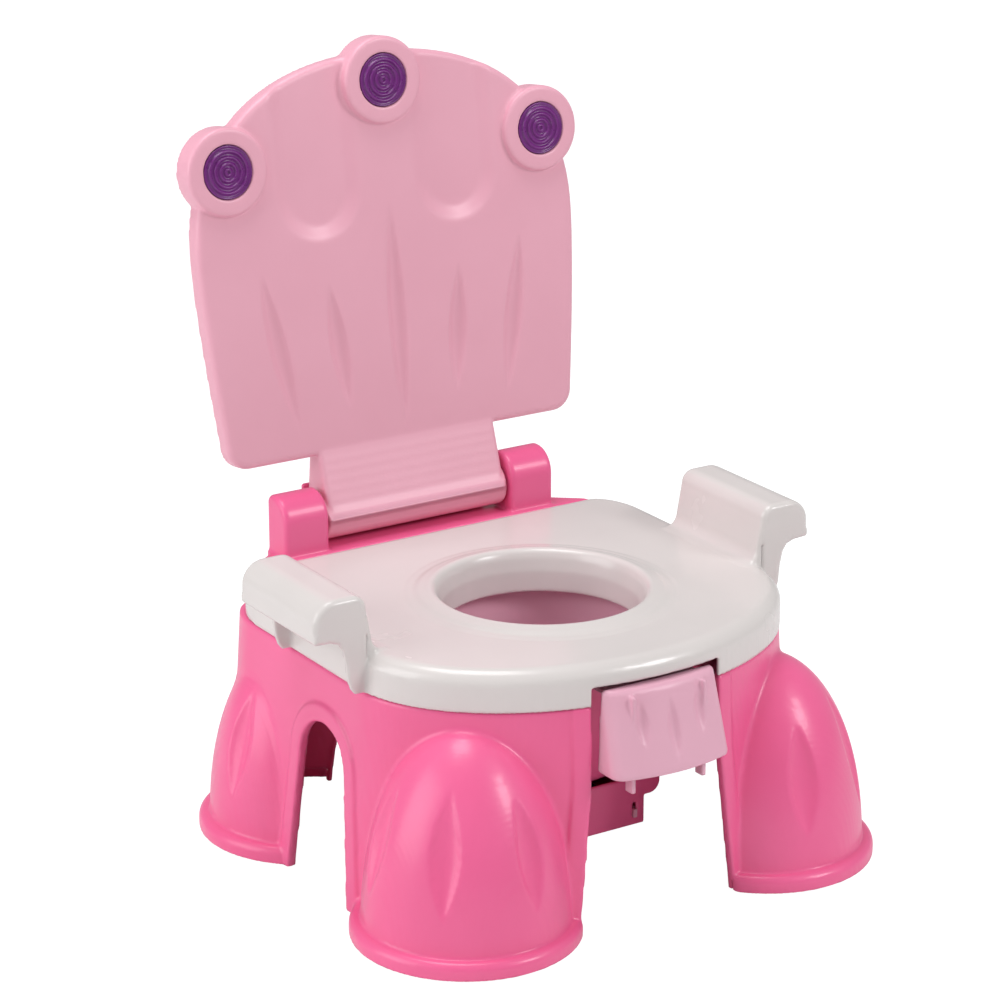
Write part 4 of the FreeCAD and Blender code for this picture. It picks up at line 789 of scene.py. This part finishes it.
def surface(name, colour, second, roughness, spread, scale, bump, metallic=0.0, coat=0.0, specular=0.5):
    """Material with two close shades, uneven gloss and a fine grain, all from noise."""
    material = bpy.data.materials.new(name)
    material.use_nodes = True
    nodes, links = material.node_tree.nodes, material.node_tree.links
    shader = nodes["Principled BSDF"]
    shader.inputs["Metallic"].default_value = metallic
    shader.inputs["Coat Weight"].default_value = coat
    shader.inputs["Coat Roughness"].default_value = COAT_ROUGHNESS
    shader.inputs["Specular IOR Level"].default_value = specular
    place = nodes.new("ShaderNodeTexCoord")
    cloud = nodes.new("ShaderNodeTexNoise")
    cloud.inputs["Scale"].default_value = scale
    cloud.inputs["Detail"].default_value = 4.0
    links.new(place.outputs["Object"], cloud.inputs["Vector"])
    tint = nodes.new("ShaderNodeValToRGB")
    tint.color_ramp.elements[0].position = 0.3
    tint.color_ramp.elements[1].position = 0.7
    tint.color_ramp.elements[0].color = linear(*colour)
    tint.color_ramp.elements[1].color = linear(*second)
    links.new(cloud.outputs["Fac"], tint.inputs["Fac"])
    links.new(tint.outputs["Color"], shader.inputs["Base Color"])
    gloss = nodes.new("ShaderNodeMapRange")
    gloss.inputs["To Min"].default_value = roughness - spread
    gloss.inputs["To Max"].default_value = roughness + spread
    links.new(cloud.outputs["Fac"], gloss.inputs["Value"])
    links.new(gloss.outputs["Result"], shader.inputs["Roughness"])
    grain = nodes.new("ShaderNodeTexNoise")
    grain.inputs["Scale"].default_value = GRAIN_SCALE
    grain.inputs["Detail"].default_value = 2.0
    links.new(place.outputs["Object"], grain.inputs["Vector"])
    raised = nodes.new("ShaderNodeBump")
    raised.inputs["Strength"].default_value = bump
    raised.inputs["Distance"].default_value = GRAIN_HEIGHT_M
    links.new(grain.outputs["Fac"], raised.inputs["Height"])
    links.new(raised.outputs["Normal"], shader.inputs["Normal"])
    return material


HOT_PINK = surface("hot_pink_plastic", (239, 97, 149), (242, 103, 155), 0.34, 0.04, 14, 0.06, coat=0.12)
PALE_PINK = surface("pale_pink_plastic", (233, 168, 187), (236, 172, 191), 0.4, 0.04, 14, 0.08, coat=0.05)
LILAC_PINK = surface("lilac_pink_plastic", (226, 170, 190), (229, 174, 194), 0.4, 0.04, 14, 0.08, coat=0.05)
WARM_WHITE = surface("warm_white_plastic", (216, 210, 208), (220, 214, 212), 0.26, 0.04, 14, 0.04, coat=0.2)
PURPLE = surface("purple_plastic", (112, 34, 120), (122, 40, 130), 0.28, 0.05, 60, 0.1, coat=0.2)
STEEL = surface("steel", (190, 190, 188), (206, 206, 204), 0.3, 0.08, 220, 0.2, metallic=1.0)
CELL = surface("cell_jacket", (40, 44, 52), (48, 52, 60), 0.32, 0.05, 80, 0.1, coat=0.2)
BOARD = surface("board_green", (24, 92, 52), (30, 104, 60), 0.4, 0.06, 200, 0.2)
BLACK = surface("black_plastic", (22, 22, 24), (30, 30, 32), 0.5, 0.06, 90, 0.3)
RUBBER = surface("pad_rubber", (196, 190, 188), (206, 200, 198), 0.72, 0.06, 120, 0.5)


def dress(piece, body, slot, material, *nodes):
    """Gives a piece its material and body, and hides the CAD nodes that it stands for; its slot is not used.
    """
    piece.data.materials.clear()
    piece.data.materials.append(material)
    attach(piece, body)
    if nodes:
        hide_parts(*nodes)
    return piece


def dress_nodes(material, *names):
    """Gives CAD nodes that stay a procedural material."""
    for name in names:
        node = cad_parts[name]
        node.data.materials.clear()
        node.data.materials.append(material)


def mouldings():
    reach = FLANGE_RADIUS + LEG_X
    piece = moulding("base_body", (-reach, LEG_FRONT_Y - FLANGE_RADIUS, 0),
                     (reach, LEG_REAR_Y + FLANGE_RADIUS, BASE_TOP_Z), 1.7, base_field, mirrored=True)
    dress(piece, "base", "hot_pink", HOT_PINK, "base_shell")
    piece = moulding("seat", (0, PLAN_CENTRE_Y - PLAN_FRONT, SKIRT_Z),
                     (HANDLE_OUTER_X, PLAN_REAR_Y, HANDLE_TOP_Z), 1.4, seat_field, mirrored=True)
    dress(piece, "seat", "warm_white", WARM_WHITE, "seat_ring")
    piece = moulding("lid", (0, -BOSS_HEIGHT, -LID_DROP - BARREL_RADIUS), (148, 20, LID_HEIGHT + 11),
                     1.3, lid_field, mirrored=True, place=LID_PLACE)
    dress(piece, "lid", "pale_pink", PALE_PINK, "lid_shell")
    piece = moulding("lid_step", (0, LID_THICKNESS - PANEL_THICKNESS, 3), (148, LID_THICKNESS + 1, 266),
                     1.2, panel_field, mirrored=True, place=LID_PLACE)
    dress(piece, "lid", "pale_pink", PALE_PINK, "lid_step_panel")
    piece = moulding("hinge_housing", (0, PLAN_REAR_Y, DECK_SLOPE_Z),
                     (WING_HALF, DECK_REAR_Y, TOWER_TOP_Z), 1.2, hinge_deck_field, mirrored=True)
    dress(piece, "base", "hot_pink", HOT_PINK, "hinge_deck")
    piece = moulding("bowl_pan", (0, TAB_FRONT_Y - TAB_LEAN, BOWL_FLOOR_Z),
                     (BOWL_RIM_RADIUS, BOWL_RIM_RADIUS, TAB_TOP_Z), 1.3, bowl_field, mirrored=True)
    dress(piece, "bowl", "lilac_pink", LILAC_PINK, "bowl")
    reach = WELL_FLANGE_RADIUS
    piece = moulding("well", (0, -reach, UNIT_STEP_Z), (reach, reach, BASE_TOP_Z + WALL),
                     1.6, well_field, mirrored=True)
    dress(piece, "base", "hot_pink", HOT_PINK, "bowl_well")
    piece = moulding("sound_unit", (-UNIT_UPPER, -UNIT_DEPTH, UNIT_FOOT_Z),
                     (UNIT_UPPER, UNIT_DEPTH, WELL_FLOOR_Z), 1.0, unit_field)
    dress(piece, "base", "hot_pink", HOT_PINK, "sound_housing")


def lathe(name, section, steps=96, place=Matrix.Identity(4)):
    """Mesh turned about Z from a section of (radius, height) points whose ends lie on the axis."""
    points, faces = [(0, 0, section[0][1])], []
    rings = section[1:-1]
    for radius, height in rings:
        for turn in np.arange(steps) * 2 * math.pi / steps:
            points.append((radius * math.cos(turn), radius * math.sin(turn), height))
    points.append((0, 0, section[-1][1]))
    for step in range(steps):
        after = (step + 1) % steps
        faces.append((0, 1 + after, 1 + step))
        for ring in range(len(rings) - 1):
            low, high = 1 + ring * steps, 1 + (ring + 1) * steps
            faces.append((low + step, low + after, high + after, high + step))
        last = 1 + (len(rings) - 1) * steps
        faces.append((last + step, last + after, len(points) - 1))
    mesh = bpy.data.meshes.new(name)
    mesh.from_pydata(points, [], faces)
    mesh.shade_smooth()
    mesh.transform(TO_ROW @ place)
    made = bpy.data.objects.new(name, mesh)
    bpy.context.scene.collection.objects.link(made)
    return made


def jewel_section():
    """Half section of a jewel: round-topped rings on a disc, from its back to its face."""
    section = [(0.0, 0.0), (JEWEL_RADIUS - 0.6, 0.0), (JEWEL_RADIUS, 0.6), (JEWEL_RADIUS, 2.6),
               (JEWEL_RADIUS - 0.5, JEWEL_EDGE)]
    pitch = JEWEL_RADIUS / JEWEL_RINGS
    for radius in np.arange(JEWEL_RADIUS - 1.2, 0.5, -0.45):
        wave = 0.5 - 0.5 * math.cos(2 * math.pi * radius / pitch)
        section.append((float(radius), JEWEL_VALLEY + JEWEL_RING_HEIGHT * wave ** 1.5))
    return section + [(0.0, JEWEL_VALLEY)]


def jewels():
    forward = Matrix.Rotation(math.radians(90), 4, "X")
    for name, (x, z) in zip(("jewel_left", "jewel_centre", "jewel_right"), BOSSES):
        place = LID_PLACE @ Matrix.Translation((x, JEWEL_EDGE - BOSS_HEIGHT, z)) @ forward
        dress(lathe(name + "_rings", jewel_section(), place=place), "lid", "purple", PURPLE, name)


def floor_and_light():
    material = bpy.data.materials.new("pale_floor")
    material.use_nodes = True
    nodes, links = material.node_tree.nodes, material.node_tree.links
    nodes.clear()
    path = nodes.new("ShaderNodeLightPath")
    seen = nodes.new("ShaderNodeMath")
    seen.operation = "MULTIPLY"
    seen.inputs[1].default_value = FLOOR_GLOW
    links.new(path.outputs["Is Camera Ray"], seen.inputs[0])
    matt = nodes.new("ShaderNodeBsdfDiffuse")
    matt.inputs["Color"].default_value = linear(*FLOOR_COLOUR)
    glow = nodes.new("ShaderNodeEmission")
    glow.inputs["Strength"].default_value = FLOOR_EMISSION
    mixed = nodes.new("ShaderNodeMixShader")
    output = nodes.new("ShaderNodeOutputMaterial")
    links.new(seen.outputs["Value"], mixed.inputs["Fac"])
    links.new(matt.outputs["BSDF"], mixed.inputs[1])
    links.new(glow.outputs["Emission"], mixed.inputs[2])
    links.new(mixed.outputs["Shader"], output.inputs["Surface"])
    mesh = bpy.data.meshes.new("floor")
    reach = FLOOR_REACH_M
    mesh.from_pydata([(-reach, -reach, 0), (reach, -reach, 0), (reach, reach, 0), (-reach, reach, 0)],
                     [], [(0, 1, 2, 3)])
    mesh.materials.append(material)
    ground = bpy.data.objects.new("floor", mesh)
    bpy.context.scene.collection.objects.link(ground)
    for name, place, size, power in LAMPS:
        data = bpy.data.lights.new(name, "AREA")
        data.size = size
        data.energy = power
        lamp = bpy.data.objects.new(name, data)
        lamp.location = place
        aim = Vector(LAMP_AIM) - Vector(place)
        lamp.rotation_euler = aim.to_track_quat("-Z", "Y").to_euler()
        bpy.context.scene.collection.objects.link(lamp)
    world = bpy.data.worlds.new("studio")
    world.use_nodes = True
    nodes, links = world.node_tree.nodes, world.node_tree.links
    nodes.clear()
    path = nodes.new("ShaderNodeLightPath")
    straight = nodes.new("ShaderNodeMath")
    straight.operation = "MAXIMUM"
    links.new(path.outputs["Is Camera Ray"], straight.inputs[0])
    links.new(path.outputs["Is Transmission Ray"], straight.inputs[1])
    ambient = nodes.new("ShaderNodeBackground")
    ambient.inputs["Color"].default_value = (1, 1, 1, 1)
    ambient.inputs["Strength"].default_value = AMBIENT
    white = nodes.new("ShaderNodeBackground")
    white.inputs["Color"].default_value = (1, 1, 1, 1)
    mixed = nodes.new("ShaderNodeMixShader")
    output = nodes.new("ShaderNodeOutputWorld")
    links.new(straight.outputs["Value"], mixed.inputs["Fac"])
    links.new(ambient.outputs["Background"], mixed.inputs[1])
    links.new(white.outputs["Background"], mixed.inputs[2])
    links.new(mixed.outputs["Shader"], output.inputs["Surface"])
    bpy.context.scene.world = world


def camera():
    data = bpy.data.cameras.new("camera")
    data.lens = CAMERA_LENS
    data.sensor_width = CAMERA_SENSOR
    data.sensor_fit = "HORIZONTAL"
    made = bpy.data.objects.new("camera", data)
    turn, rise = math.radians(CAMERA_AZIMUTH), math.radians(CAMERA_ELEVATION)
    back = Vector((math.sin(turn) * math.cos(rise), -math.cos(turn) * math.cos(rise), math.sin(rise)))
    made.location = CAMERA_PLACE
    made.rotation_mode = "QUATERNION"
    made.rotation_quaternion = (-back).to_track_quat("-Z", "Y")
    bpy.context.scene.collection.objects.link(made)
    bpy.context.scene.camera = made


mouldings()
jewels()
dress_nodes(PALE_PINK, "lid_arm_cover")
dress_nodes(HOT_PINK, "battery_door")
dress_nodes(STEEL, "deck_screws", "housing_screws", "battery_door_screw", "hinge_pin_left", "hinge_pin_right",
            "contact_springs", "sensor_studs")
dress_nodes(CELL, "battery_cells")
dress_nodes(BOARD, "circuit_board")
dress_nodes(BLACK, "speaker")
dress_nodes(LILAC_PINK, "power_switch")
dress_nodes(RUBBER, "foot_pad_front_right", "foot_pad_front_left", "foot_pad_rear_right",
            "foot_pad_rear_left")
floor_and_light()
camera()
bpy.context.scene.view_settings.view_transform = "Standard"
